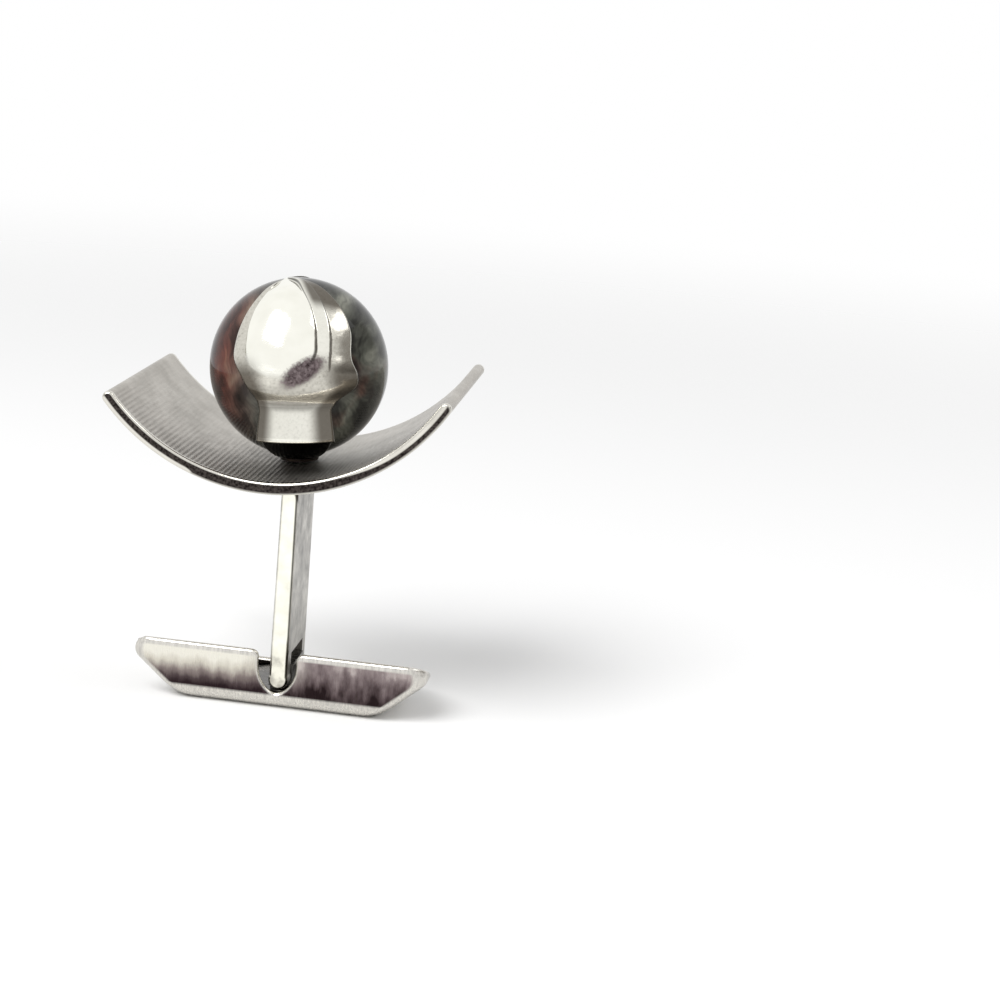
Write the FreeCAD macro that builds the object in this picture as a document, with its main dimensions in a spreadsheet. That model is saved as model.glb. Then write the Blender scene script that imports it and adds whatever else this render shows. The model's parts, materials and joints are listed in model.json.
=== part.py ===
import FreeCAD, Part
import math
import os

# A toggle-back cufflink in millimetres. Z runs up the post from the underside of the toggle,
# X runs along the toggle and -Y is the front. The head leans a little on its post.

doc = FreeCAD.newDocument("cufflink")
sheet = doc.addObject("Spreadsheet::Sheet", "Sheet")

dimensions = [
    ("bead_diameter", 12.0),
    ("bead_clearance", 0.02),
    ("plate_depth", 16.0),
    ("plate_setback", 0.5),
    ("plate_thickness", 0.8),
    ("plate_inner_radius", 13.3),
    ("plate_half_angle", 54.0),
    ("head_lean_angle", 4.0),
    ("cuff_gap", 11.85),
    ("solder_gap", 0.02),
    ("strap_thickness", 0.4),
    ("strap_top_half_width", 2.05),
    ("strap_foot_half_width", 3.6),
    ("claw_turn_angle", 10.0),
    ("claw_split", 0.1),
    ("leaf_thickness", 0.93),
    ("leaf_half_width", 2.85),
    ("leaf_half_height", 5.8),
    ("leaf_middle", 0.4),
    ("leaf_shift", 0.6),
    ("petal_thickness", 0.35),
    ("petal_half_width", 3.95),
    ("dome_offset", 1.4),
    ("dome_rise_angle", 18.0),
    ("crease_drop", 1.5),
    ("neck_radius", 6.15),
    ("neck_drop", 4.0),
    ("seat_rim", 0.85),
    ("seat_clearance", 0.02),
    ("tenon_diameter", 0.9),
    ("tenon_clearance", 0.02),
    ("post_depth", 5.9),
    ("post_top_width", 1.1),
    ("post_foot_width", 1.25),
    ("foot_swell", 0.06),
    ("post_bevel", 0.16),
    ("leg_thickness", 1.1),
    ("fork_clearance", 0.6),
    ("pivot_height", 1.95),
    ("pin_diameter", 0.8),
    ("pin_clearance", 0.03),
    ("pin_cover", 0.25),
    ("block_wall", 0.35),
    ("block_top_wall", 0.45),
    ("block_clearance", 0.1),
    ("toggle_height", 4.1),
    ("toggle_rim_half_length", 11.8),
    ("toggle_floor_half_length", 7.0),
    ("toggle_wall", 0.5),
    ("toggle_edge_round", 1.2),
    ("toggle_corner_round", 1.8),
    ("toggle_tip_round", 0.9),
    ("rim_slope_angle", 20.0),
    ("post_side_clearance", 0.1),
    ("window_side_gap", 0.65),
    ("window_sill_gap", 0.1),
    ("slot_sill_gap", 0.08),
    ("spring_thickness", 0.15),
    ("spring_half_length", 4.2),
    ("spring_clearance", 0.05),
    ("spring_side_gap", 0.2),
    ("spring_seat_gap", 0.02),
    ("rivet_shank", 0.6),
    ("rivet_head", 1.0),
    ("rivet_head_height", 0.22),
    ("rivet_edge", 0.8),
    ("rivet_clearance", 0.02),
    ("overrun", 2.0),
]
for row, (name, number) in enumerate(dimensions, start=1):
    sheet.set("A%d" % row, name)
    sheet.set("B%d" % row, repr(number))
    sheet.setAlias("B%d" % row, name)

formulas = [
    ("bead_radius", "=bead_diameter / 2"),
    ("bead_space", "=bead_radius + bead_clearance"),
    ("strap_radius", "=bead_space + strap_thickness"),
    ("dome_radius", "=bead_space + leaf_thickness - dome_offset"),
    ("leaf_curve", "=(leaf_half_height * leaf_half_height + leaf_half_width * leaf_half_width)"
                   " / (2 * leaf_half_width)"),
    ("petal_radius", "=bead_space + petal_thickness"),
    ("petal_curve", "=(leaf_half_height * leaf_half_height + petal_half_width * petal_half_width)"
                    " / (2 * petal_half_width)"),
    ("plate_outer_radius", "=plate_inner_radius + plate_thickness"),
    ("plate_middle_radius", "=plate_inner_radius + plate_thickness / 2"),
    ("bead_height", "=plate_thickness + strap_radius + solder_gap"),
    ("seat_radius", "=tenon_diameter / 2 + seat_rim"),
    ("contact_height", "=toggle_height + cuff_gap"),
    ("foot_radius", "=post_foot_width / 2 + foot_swell"),
    ("foot_bottom", "=pivot_height - foot_radius"),
    ("fork_gap", "=post_depth - 2 * leg_thickness"),
    ("block_width", "=pin_diameter + 2 * block_wall"),
    ("block_depth", "=fork_gap - 2 * block_clearance"),
    ("block_above_pin", "=pin_diameter / 2 + block_top_wall"),
    ("fork_top", "=pivot_height + sqrt(block_width * block_width / 4 + block_above_pin * block_above_pin)"
                 " + fork_clearance"),
    ("toggle_inner_depth", "=post_depth + 2 * post_side_clearance"),
    ("toggle_depth", "=toggle_inner_depth + 2 * toggle_wall"),
    ("slant_run", "=(toggle_rim_half_length - toggle_floor_half_length) / toggle_height"),
    ("slant_wall", "=toggle_wall * sqrt(1 + slant_run * slant_run)"),
    ("inner_floor_half", "=toggle_floor_half_length + slant_run * toggle_wall - slant_wall"),
    ("inner_top_half", "=toggle_rim_half_length + slant_run * overrun - slant_wall"),
    ("window_width", "=post_foot_width + 2 * window_side_gap"),
    ("window_sill", "=foot_bottom - window_sill_gap"),
    ("slot_sill", "=foot_bottom - slot_sill_gap"),
    ("spring_top", "=foot_bottom - spring_clearance"),
    ("spring_width", "=toggle_inner_depth - 2 * spring_side_gap"),
    ("spring_rise", "=spring_top - spring_thickness - toggle_wall - spring_seat_gap"),
    ("spring_radius", "=(spring_half_length * spring_half_length + spring_rise * spring_rise)"
                      " / (2 * spring_rise)"),
    ("spring_centre", "=spring_top - spring_thickness - spring_radius"),
    ("rivet_reach", "=spring_half_length - rivet_edge"),
    ("rivet_spread", "=spring_width / 2 - rivet_edge"),
]
first = len(dimensions) + 1
for row, (name, text) in enumerate(formulas, start=first):
    sheet.set("A%d" % row, name)
    sheet.set("B%d" % row, text)
    sheet.setAlias("B%d" % row, name)
doc.recompute()


def size(name):
    """Number held in the sheet under an alias."""
    return float(sheet.get(name))


def bound(kind, name, sizes):
    """Document object whose sizes follow the sheet through expressions."""
    item = doc.addObject(kind, name)
    for prop, text in sizes.items():
        item.setExpression(prop, text)
    return item


def combine(kind, name, base, tool):
    """Boolean of two document objects."""
    item = doc.addObject(kind, name)
    item.Base = base
    item.Tool = tool
    return item


def turned(x, y, z, axis, degrees):
    """Placement at a point, turned about an axis."""
    return FreeCAD.Placement(FreeCAD.Vector(x, y, z), FreeCAD.Rotation(axis, degrees))


def edges_where(item, test):
    """Numbers of the edges whose two ends, as a list of points, pass the test."""
    doc.recompute()
    found = []
    for number, edge in enumerate(item.Shape.Edges, start=1):
        if test([edge.valueAt(edge.FirstParameter), edge.valueAt(edge.LastParameter)]):
            found.append(number)
    return found


def worked(kind, name, base, amounts):
    """Fillet or chamfer with an amount for each numbered edge."""
    item = doc.addObject(kind, name)
    item.Base = base
    item.Edges = [(number, amount, amount) for number, amount in amounts]
    return item


def reach_along(points, direction):
    """Distance between an edge's two ends along a direction."""
    return abs((points[1] - points[0]).dot(direction))


X_AXIS = FreeCAD.Vector(1, 0, 0)
Y_AXIS = FreeCAD.Vector(0, 1, 0)
Z_AXIS = FreeCAD.Vector(0, 0, 1)
quarter_angle = 90
lean = size("head_lean_angle")
head = turned(0, 0, size("contact_height"), Y_AXIS, -lean)
bead_centre = head.multiply(turned(0, 0, size("bead_height"), Z_AXIS, 0))
claw_frame = head.multiply(turned(0, 0, size("bead_height"), Z_AXIS, size("claw_turn_angle")))

# Face plate: a bent strip with round ends, its axis along the depth, holed for the post's tenon. It
# reaches further behind the ball than in front of it.
span = 2 * size("plate_half_angle")
plate_outer = bound("Part::Cylinder", "plate_outer", {
    "Radius": "Sheet.plate_outer_radius",
    "Height": "Sheet.plate_depth",
    "Angle": "2 * Sheet.plate_half_angle"})
plate_inner = bound("Part::Cylinder", "plate_inner", {
    "Radius": "Sheet.plate_inner_radius",
    "Height": "Sheet.plate_depth"})
plate_ring = combine("Part::Cut", "plate_ring", plate_outer, plate_inner)
plate_ends = []
for name, degrees in (("plate_end_near", 0), ("plate_end_far", span)):
    end = bound("Part::Cylinder", name, {
        "Radius": "Sheet.plate_thickness / 2",
        "Height": "Sheet.plate_depth"})
    reach = size("plate_middle_radius")
    angle = math.radians(degrees)
    end.Placement = turned(reach * math.cos(angle), reach * math.sin(angle), 0, Z_AXIS, 0)
    plate_ends.append(end)
plate_half = combine("Part::Fuse", "plate_half", plate_ring, plate_ends[0])
plate_blank = combine("Part::Fuse", "plate_blank", plate_half, plate_ends[1])
down = turned(0, 0, 0, Z_AXIS, -quarter_angle - size("plate_half_angle"))
plate_back = size("plate_setback") + size("plate_depth") / 2
upright = turned(0, plate_back, size("plate_outer_radius"), X_AXIS, quarter_angle)
plate_blank.Placement = upright.multiply(down)
plate_hole = bound("Part::Cylinder", "plate_hole", {
    "Radius": "Sheet.tenon_diameter / 2 + Sheet.tenon_clearance",
    "Height": "2 * Sheet.overrun"})
plate_hole.Placement = turned(0, 0, 0, Y_AXIS, lean).multiply(turned(0, 0, -size("overrun"), Z_AXIS, 0))
face_plate = combine("Part::Cut", "face_plate", plate_blank, plate_hole)
face_plate.Placement = head

# Bead: a plain ball.
bead = bound("Part::Sphere", "bead", {"Radius": "Sheet.bead_radius"})
bead.Placement = bead_centre

# Claws: a domed pointed leaf, left of centre on a wider, thinner petal, a neck below them that hangs
# straight down, and a thin strap from the neck that runs under the ball.
dome = bound("Part::Sphere", "dome", {"Radius": "Sheet.dome_radius"})
rise = math.radians(size("dome_rise_angle"))
dome.Placement = turned(-size("leaf_shift"), -size("dome_offset") * math.cos(rise),
                        size("dome_offset") * math.sin(rise), Z_AXIS, 0)
below_crease = bound("Part::Box", "below_crease", {
    "Length": "2 * Sheet.bead_diameter",
    "Width": "2 * Sheet.bead_diameter",
    "Height": "Sheet.bead_diameter"})
below_crease.Placement = turned(-size("bead_diameter"), -size("bead_diameter"),
                                -size("bead_diameter") - size("crease_drop"), Z_AXIS, 0)
outlines = {}
for name, middle in (("leaf", -size("leaf_shift")), ("petal", 0)):
    sides = []
    for side_name, side in (("_left_side", 1), ("_right_side", -1)):
        outline_side = bound("Part::Cylinder", name + side_name, {
            "Radius": "Sheet.%s_curve" % name,
            "Height": "Sheet.bead_diameter"})
        shift = size(name + "_curve") - size(name + "_half_width")
        outline_side.Placement = turned(middle + side * shift, -size("claw_split"), size("leaf_middle"),
                                        X_AXIS, quarter_angle)
        sides.append(outline_side)
    pointed = combine("Part::Common", name + "_pointed", sides[0], sides[1])
    outlines[name] = combine("Part::Cut", name + "_outline", pointed, below_crease)
bud = combine("Part::Common", "bud", dome, outlines["leaf"])
petal_ball = bound("Part::Sphere", "petal_ball", {"Radius": "Sheet.petal_radius"})
petal = combine("Part::Common", "petal", petal_ball, outlines["petal"])
claw_upper = combine("Part::Fuse", "claw_upper", bud, petal)
strap_ball = bound("Part::Sphere", "strap_ball", {"Radius": "Sheet.strap_radius"})
neck_round = bound("Part::Cylinder", "neck_round", {
    "Radius": "Sheet.neck_radius",
    "Height": "Sheet.neck_drop - Sheet.crease_drop / 2"})
neck_round.Placement = turned(0, 0, -size("neck_drop"), Z_AXIS, 0)
lower_round = combine("Part::Fuse", "lower_round", strap_ball, neck_round)
strap_outline = bound("Part::Wedge", "strap_outline", {
    "Xmin": "-Sheet.strap_foot_half_width",
    "Xmax": "Sheet.strap_foot_half_width",
    "X2min": "-Sheet.strap_top_half_width",
    "X2max": "Sheet.strap_top_half_width",
    "Ymin": "-Sheet.bead_diameter",
    "Ymax": "-Sheet.crease_drop / 2",
    "Zmin": "Sheet.claw_split",
    "Zmax": "Sheet.bead_diameter",
    "Z2min": "Sheet.claw_split",
    "Z2max": "Sheet.bead_diameter"})
strap_outline.Placement = turned(0, 0, 0, X_AXIS, quarter_angle)
claw_lower = combine("Part::Common", "claw_lower", lower_round, strap_outline)
claw_solid = combine("Part::Fuse", "claw_solid", claw_upper, claw_lower)
claw_bead_space = bound("Part::Sphere", "claw_bead_space", {"Radius": "Sheet.bead_space"})
claw_blank = combine("Part::Cut", "claw_blank", claw_solid, claw_bead_space)
rear_blank = doc.addObject("Part::Mirroring", "rear_blank")
rear_blank.Source = claw_blank
rear_blank.Normal = Y_AXIS
claws = []
for name, blank in (("front_claw", claw_blank), ("rear_claw", rear_blank)):
    seat_space = bound("Part::Cylinder", name + "_seat_space", {
        "Radius": "Sheet.seat_radius + Sheet.seat_clearance",
        "Height": "Sheet.bead_diameter"})
    seat_space.Placement = turned(0, 0, -size("bead_diameter"), Z_AXIS, 0)
    claw = combine("Part::Cut", name, blank, seat_space)
    claw.Placement = claw_frame
    claws.append(claw)

# Claw seat: the small cup between plate and ball that joins both straps and takes the tenon.
seat_ball = bound("Part::Sphere", "seat_ball", {"Radius": "Sheet.strap_radius"})
seat_outline = bound("Part::Cylinder", "seat_outline", {
    "Radius": "Sheet.seat_radius",
    "Height": "Sheet.bead_diameter"})
seat_outline.Placement = turned(0, 0, -size("bead_diameter"), Z_AXIS, 0)
seat_solid = combine("Part::Common", "seat_solid", seat_ball, seat_outline)
seat_bead_space = bound("Part::Sphere", "seat_bead_space", {"Radius": "Sheet.bead_space"})
seat_cup = combine("Part::Cut", "seat_cup", seat_solid, seat_bead_space)
seat_hole = bound("Part::Cylinder", "seat_hole", {
    "Radius": "Sheet.tenon_diameter / 2 + Sheet.tenon_clearance",
    "Height": "2 * Sheet.overrun"})
seat_hole.Placement = turned(0, 0, -size("bead_height"), Y_AXIS, lean)
claw_seat = combine("Part::Cut", "claw_seat", seat_cup, seat_hole)
claw_seat.Placement = bead_centre

# Post: a bevelled flat bar, forked at the foot, where it swells to an eye, with a tenon through the
# plate at the top.
shaft_wedge = bound("Part::Wedge", "shaft_wedge", {
    "Xmin": "-Sheet.post_foot_width / 2",
    "Xmax": "Sheet.post_foot_width / 2",
    "X2min": "-Sheet.post_top_width / 2",
    "X2max": "Sheet.post_top_width / 2",
    "Ymin": "Sheet.pivot_height",
    "Ymax": "Sheet.contact_height + Sheet.plate_thickness",
    "Zmin": "-Sheet.post_depth / 2",
    "Zmax": "Sheet.post_depth / 2",
    "Z2min": "-Sheet.post_depth / 2",
    "Z2max": "Sheet.post_depth / 2"})
shaft_wedge.Placement = turned(0, 0, 0, X_AXIS, quarter_angle)
foot_round = bound("Part::Cylinder", "foot_round", {
    "Radius": "Sheet.foot_radius",
    "Height": "Sheet.post_depth"})
foot_round.Placement = turned(0, size("post_depth") / 2, size("pivot_height"), X_AXIS, quarter_angle)
long_edges = edges_where(shaft_wedge, lambda ends: reach_along(ends, Z_AXIS) > size("post_depth"))
shaft = worked("Part::Chamfer", "shaft", shaft_wedge, [(n, size("post_bevel")) for n in long_edges])
ring_edges = edges_where(foot_round, lambda ends: reach_along(ends, Y_AXIS) < size("post_depth") / 2)
foot = worked("Part::Chamfer", "foot", foot_round, [(n, size("post_bevel")) for n in ring_edges])
bar = combine("Part::Fuse", "bar", shaft, foot)
underside = bound("Part::Cylinder", "underside", {
    "Radius": "Sheet.plate_outer_radius + Sheet.solder_gap",
    "Height": "2 * Sheet.plate_depth"})
underside.Placement = head.multiply(turned(0, size("plate_depth"), size("plate_outer_radius"),
                                           X_AXIS, quarter_angle))
topped = combine("Part::Cut", "topped", bar, underside)
tenon = bound("Part::Cylinder", "tenon", {
    "Radius": "Sheet.tenon_diameter / 2",
    "Height": "Sheet.overrun + Sheet.plate_thickness + Sheet.strap_thickness / 2"})
tenon.Placement = turned(0, 0, size("contact_height") - size("overrun"), Z_AXIS, 0)
tenoned = combine("Part::Fuse", "tenoned", topped, tenon)
fork_space = bound("Part::Box", "fork_space", {
    "Length": "2 * Sheet.overrun",
    "Width": "Sheet.fork_gap",
    "Height": "Sheet.fork_top"})
fork_space.Placement = turned(-size("overrun"), -size("fork_gap") / 2, 0, Z_AXIS, 0)
forked = combine("Part::Cut", "forked", tenoned, fork_space)
post_bore = bound("Part::Cylinder", "post_bore", {
    "Radius": "Sheet.pin_diameter / 2 + Sheet.pin_clearance",
    "Height": "Sheet.post_depth - Sheet.pin_cover"})
pin_rear = turned(0, size("post_depth") / 2, size("pivot_height"), X_AXIS, quarter_angle)
post_bore.Placement = pin_rear
post = combine("Part::Cut", "post", forked, post_bore)

# Pivot pin and the block that carries it inside the toggle.
pivot_pin = bound("Part::Cylinder", "pivot_pin", {
    "Radius": "Sheet.pin_diameter / 2",
    "Height": "Sheet.post_depth - Sheet.pin_cover - Sheet.pin_clearance"})
pivot_pin.Placement = pin_rear
block_solid = bound("Part::Box", "block_solid", {
    "Length": "Sheet.block_width",
    "Width": "Sheet.block_depth",
    "Height": "Sheet.pivot_height + Sheet.block_above_pin - Sheet.toggle_wall"})
block_solid.Placement = turned(-size("block_width") / 2, -size("block_depth") / 2, size("toggle_wall"),
                               Z_AXIS, 0)
block_bore = bound("Part::Cylinder", "block_bore", {
    "Radius": "Sheet.pin_diameter / 2",
    "Height": "Sheet.post_depth"})
block_bore.Placement = pin_rear
pivot_block = combine("Part::Cut", "pivot_block", block_solid, block_bore)

# Toggle shell: a boat-shaped trough with a tall front wall, a lower rear wall, a window in each wall
# at the pivot and a slot in the left end where the post lies when the toggle is turned in line.
hull_wedge = bound("Part::Wedge", "hull_wedge", {
    "Xmin": "-Sheet.toggle_floor_half_length",
    "Xmax": "Sheet.toggle_floor_half_length",
    "X2min": "-Sheet.toggle_rim_half_length",
    "X2max": "Sheet.toggle_rim_half_length",
    "Ymin": "0",
    "Ymax": "Sheet.toggle_height",
    "Zmin": "-Sheet.toggle_depth / 2",
    "Zmax": "Sheet.toggle_depth / 2",
    "Z2min": "-Sheet.toggle_depth / 2",
    "Z2max": "Sheet.toggle_depth / 2"})
hull_wedge.Placement = turned(0, 0, 0, X_AXIS, quarter_angle)
across = size("toggle_depth") / 2
waist = size("toggle_height") / 2
floor_ends = edges_where(hull_wedge, lambda ends: reach_along(ends, Y_AXIS) > across and ends[0].z < waist)
rim_ends = edges_where(hull_wedge, lambda ends: reach_along(ends, Y_AXIS) > across and ends[0].z > waist)
hull_corners = worked("Part::Fillet", "hull_corners", hull_wedge,
                      [(n, size("toggle_corner_round")) for n in floor_ends]
                      + [(n, size("toggle_tip_round")) for n in rim_ends])
match_share = 0.001
rim_line = size("toggle_height") * (1 - match_share)
side_edges = edges_where(hull_corners, lambda ends: reach_along(ends, Y_AXIS) < across
                         and max(ends[0].z, ends[1].z) < rim_line)
hull = worked("Part::Fillet", "hull", hull_corners, [(n, size("toggle_edge_round")) for n in side_edges])
hollow = bound("Part::Wedge", "hollow", {
    "Xmin": "-Sheet.inner_floor_half",
    "Xmax": "Sheet.inner_floor_half",
    "X2min": "-Sheet.inner_top_half",
    "X2max": "Sheet.inner_top_half",
    "Ymin": "Sheet.toggle_wall",
    "Ymax": "Sheet.toggle_height + Sheet.overrun",
    "Zmin": "Sheet.toggle_wall - Sheet.toggle_depth / 2",
    "Zmax": "Sheet.toggle_depth / 2 - Sheet.toggle_wall",
    "Z2min": "Sheet.toggle_wall - Sheet.toggle_depth / 2",
    "Z2max": "Sheet.toggle_depth / 2 - Sheet.toggle_wall"})
hollow.Placement = turned(0, 0, 0, X_AXIS, quarter_angle)
trough = combine("Part::Cut", "trough", hull, hollow)
above_rim = bound("Part::Box", "above_rim", {
    "Length": "2 * (Sheet.toggle_rim_half_length + Sheet.overrun)",
    "Width": "Sheet.toggle_depth + Sheet.overrun",
    "Height": "Sheet.toggle_height"})
above_rim.Placement = turned(-size("toggle_rim_half_length") - size("overrun"), -size("toggle_depth") / 2,
                             size("toggle_height"), X_AXIS, -size("rim_slope_angle"))
rimmed = combine("Part::Cut", "rimmed", trough, above_rim)
window_round = bound("Part::Cylinder", "window_round", {
    "Radius": "Sheet.window_width / 2",
    "Height": "2 * Sheet.toggle_depth"})
window_middle = size("window_sill") + size("window_width") / 2
window_round.Placement = turned(0, size("toggle_depth"), window_middle, X_AXIS, quarter_angle)
window_box = bound("Part::Box", "window_box", {
    "Length": "Sheet.window_width",
    "Width": "2 * Sheet.toggle_depth",
    "Height": "Sheet.toggle_height"})
window_box.Placement = turned(-size("window_width") / 2, -size("toggle_depth"), window_middle, Z_AXIS, 0)
window = combine("Part::Fuse", "window", window_round, window_box)
windowed = combine("Part::Cut", "windowed", rimmed, window)
end_slot = bound("Part::Box", "end_slot", {
    "Length": "Sheet.toggle_rim_half_length + Sheet.overrun - Sheet.inner_floor_half",
    "Width": "Sheet.toggle_inner_depth",
    "Height": "Sheet.toggle_height"})
end_slot.Placement = turned(-size("toggle_rim_half_length") - size("overrun"),
                            -size("toggle_inner_depth") / 2, size("slot_sill"), Z_AXIS, 0)
slotted = combine("Part::Cut", "slotted", windowed, end_slot)
rivet_holes = []
for name, place in (("front", -1), ("rear", 1)):
    hole = bound("Part::Cylinder", name + "_rivet_hole", {
        "Radius": "Sheet.rivet_shank / 2 + Sheet.rivet_clearance",
        "Height": "Sheet.toggle_height"})
    hole.Placement = turned(size("rivet_reach"), place * size("rivet_spread"), 0, Z_AXIS, 0)
    rivet_holes.append(hole)
holes = combine("Part::Fuse", "holes", rivet_holes[0], rivet_holes[1])
toggle_shell = combine("Part::Cut", "toggle_shell", slotted, holes)

# Leaf spring: a thin bowed strip on the trough floor under the ends of the fork.
spring_outer = bound("Part::Cylinder", "spring_outer", {
    "Radius": "Sheet.spring_radius + Sheet.spring_thickness",
    "Height": "Sheet.spring_width"})
spring_outer.Placement = turned(0, size("spring_width") / 2, size("spring_centre"), X_AXIS, quarter_angle)
spring_inner = bound("Part::Cylinder", "spring_inner", {
    "Radius": "Sheet.spring_radius",
    "Height": "Sheet.spring_width"})
spring_inner.Placement = turned(0, size("spring_width") / 2, size("spring_centre"), X_AXIS, quarter_angle)
spring_ring = combine("Part::Cut", "spring_ring", spring_outer, spring_inner)
spring_zone = bound("Part::Box", "spring_zone", {
    "Length": "2 * Sheet.spring_half_length",
    "Width": "2 * Sheet.spring_width",
    "Height": "Sheet.toggle_height"})
spring_zone.Placement = turned(-size("spring_half_length"), -size("spring_width"), 0, Z_AXIS, 0)
spring_strip = combine("Part::Common", "spring_strip", spring_ring, spring_zone)
spring_window = bound("Part::Box", "spring_window", {
    "Length": "Sheet.block_width + 2 * Sheet.block_clearance",
    "Width": "Sheet.fork_gap",
    "Height": "Sheet.toggle_height"})
spring_window.Placement = turned(-size("block_width") / 2 - size("block_clearance"), -size("fork_gap") / 2,
                                 0, Z_AXIS, 0)
spring_framed = combine("Part::Cut", "spring_framed", spring_strip, spring_window)
spring_holes = []
for name, place in (("front", -1), ("rear", 1)):
    hole = bound("Part::Cylinder", name + "_spring_hole", {
        "Radius": "Sheet.rivet_shank / 2 + Sheet.rivet_clearance",
        "Height": "Sheet.toggle_height"})
    hole.Placement = turned(size("rivet_reach"), place * size("rivet_spread"), 0, Z_AXIS, 0)
    spring_holes.append(hole)
spring_bores = combine("Part::Fuse", "spring_bores", spring_holes[0], spring_holes[1])
leaf_spring = combine("Part::Cut", "leaf_spring", spring_framed, spring_bores)

# Spring rivets: shank through the floor, flush below, head on the spring.
spring_reach = size("spring_radius") + size("spring_thickness")
head_seat = size("spring_centre") + math.sqrt(
    spring_reach ** 2 - (size("rivet_reach") - size("rivet_head") / 2) ** 2) + size("spring_seat_gap")
rivets = []
for name, place in (("spring_rivet_front", -1), ("spring_rivet_rear", 1)):
    shank = bound("Part::Cylinder", name + "_shank", {"Radius": "Sheet.rivet_shank / 2"})
    shank.Height = head_seat
    shank.Placement = turned(size("rivet_reach"), place * size("rivet_spread"), 0, Z_AXIS, 0)
    cap = bound("Part::Cylinder", name + "_head", {
        "Radius": "Sheet.rivet_head / 2",
        "Height": "Sheet.rivet_head_height"})
    cap.Placement = turned(size("rivet_reach"), place * size("rivet_spread"), head_seat, Z_AXIS, 0)
    rivets.append(combine("Part::Fuse", name, shank, cap))

nodes = [face_plate, bead, claws[0], claws[1], claw_seat, post, pivot_pin, pivot_block, toggle_shell,
         leaf_spring, rivets[0], rivets[1]]
doc.recompute()
for item in doc.Objects:
    if "Invalid" in item.State or "Error" in item.State:
        raise RuntimeError("%s did not build: %s" % (item.Name, item.State))
os.makedirs("parts", exist_ok=True)
for node in nodes:
    node.Label = node.Name
    shape = node.Shape
    if shape.isNull() or not shape.isValid():
        raise RuntimeError("%s has no valid shape" % node.Name)
    if len(shape.Solids) != 1:
        raise RuntimeError("%s has %d solids" % (node.Name, len(shape.Solids)))
    shape.exportStep("parts/%s.step" % node.Name)
    box = shape.BoundBox
    print("%-20s %8.3f mm3  x %.2f..%.2f  y %.2f..%.2f  z %.2f..%.2f" % (
        node.Name, shape.Volume, box.XMin, box.XMax, box.YMin, box.YMax, box.ZMin, box.ZMax))
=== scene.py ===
import json
import math

import bmesh
import bpy
import numpy as np
from mathutils import Matrix, Vector

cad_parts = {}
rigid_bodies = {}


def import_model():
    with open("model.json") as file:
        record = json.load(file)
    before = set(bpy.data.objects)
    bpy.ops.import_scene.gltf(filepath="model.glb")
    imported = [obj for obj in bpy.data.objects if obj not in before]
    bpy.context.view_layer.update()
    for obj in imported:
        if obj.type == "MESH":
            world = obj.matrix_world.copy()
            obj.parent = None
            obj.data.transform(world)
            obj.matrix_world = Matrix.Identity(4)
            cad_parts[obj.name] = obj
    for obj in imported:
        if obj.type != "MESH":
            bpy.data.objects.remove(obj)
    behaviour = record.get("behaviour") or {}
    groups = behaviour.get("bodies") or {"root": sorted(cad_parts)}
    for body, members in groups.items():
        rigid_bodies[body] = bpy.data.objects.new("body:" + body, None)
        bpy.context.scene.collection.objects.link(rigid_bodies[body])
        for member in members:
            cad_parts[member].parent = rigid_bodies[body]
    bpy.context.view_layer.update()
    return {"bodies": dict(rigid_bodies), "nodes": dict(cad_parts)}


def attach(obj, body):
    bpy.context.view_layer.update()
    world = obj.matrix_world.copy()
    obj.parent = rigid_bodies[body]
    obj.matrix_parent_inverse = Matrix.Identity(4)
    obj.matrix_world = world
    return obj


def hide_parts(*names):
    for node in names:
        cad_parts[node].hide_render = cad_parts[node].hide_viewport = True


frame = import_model()
scene = bpy.context.scene

# Face plate: a strip of silver-plated brass bent to part of a cylinder whose axis runs along the depth.
# Fine ribs are milled along the depth of its hollow side, inside a polished border, and its edges and ends
# are rounded and polished. The post is soldered through its middle, and the head leans a little on it.
MM = 0.001
HEAD_LEAN = math.radians(4.0)
HEAD_HEIGHT = 15.95
PLATE_INNER_RADIUS = 13.3
PLATE_THICKNESS = 0.8
PLATE_FRONT, PLATE_BACK = -7.5, 8.5
PLATE_HALF_ANGLE = math.radians(54.0)
PLATE_EDGE_ROUND = 0.17
OUTER_ROUND_SHARE = 0.35
RIB_PITCH = 0.33
RIB_DEPTH = 0.022
BACK_RIB_SHARE = 0.4
RIB_BORDER = 0.30
RIB_FADE = 0.15
RIB_SAMPLES = 8
EDGE_SAMPLES, EDGE_TURN_SAMPLES = 9, 6
END_SAMPLES = 9
FADE_SAMPLES, BODY_SAMPLES = 5, 16
MERGE, SLIVER = 1e-7, 1e-8
# Painted dark reflection band on the flat edges: where it starts and stops across the edge, its blur, and
# the arc angles over which it shifts to leave painted bright reflection beside it.
DARK_TOP, DARK_TOP_RIGHT = -0.72, -0.05
DARK_FOOT, DARK_FOOT_LEFT = 1.4, 0.3
DARK_BLUR = 0.12
BRIGHT_RIGHT, BRIGHT_LEFT = np.radians([12, 36]), np.radians([-19, -26])
COLOURS = {"data_type": "RGBA"}


def on_head(points):
    """Points in millimetres from the middle of the plate's underside, put in metres on the post: turned
    about the depth axis by the head's lean, then raised to the top of the post."""
    x, y, z = np.moveaxis(np.asarray(points, float), -1, 0)
    along = x * math.cos(HEAD_LEAN) - z * math.sin(HEAD_LEAN)
    above = x * math.sin(HEAD_LEAN) + z * math.cos(HEAD_LEAN) + HEAD_HEIGHT
    return np.stack([along, y, above], -1) * MM


def smooth_step(low, high, value):
    """0 below low, 1 above high, and a cubic with level ends between them."""
    share = np.clip((value - low) / (high - low), 0, 1)
    return share * share * (3 - 2 * share)


def between(start, end, share):
    """The value that is a share of the way from start to end."""
    return start + (end - start) * share


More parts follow.
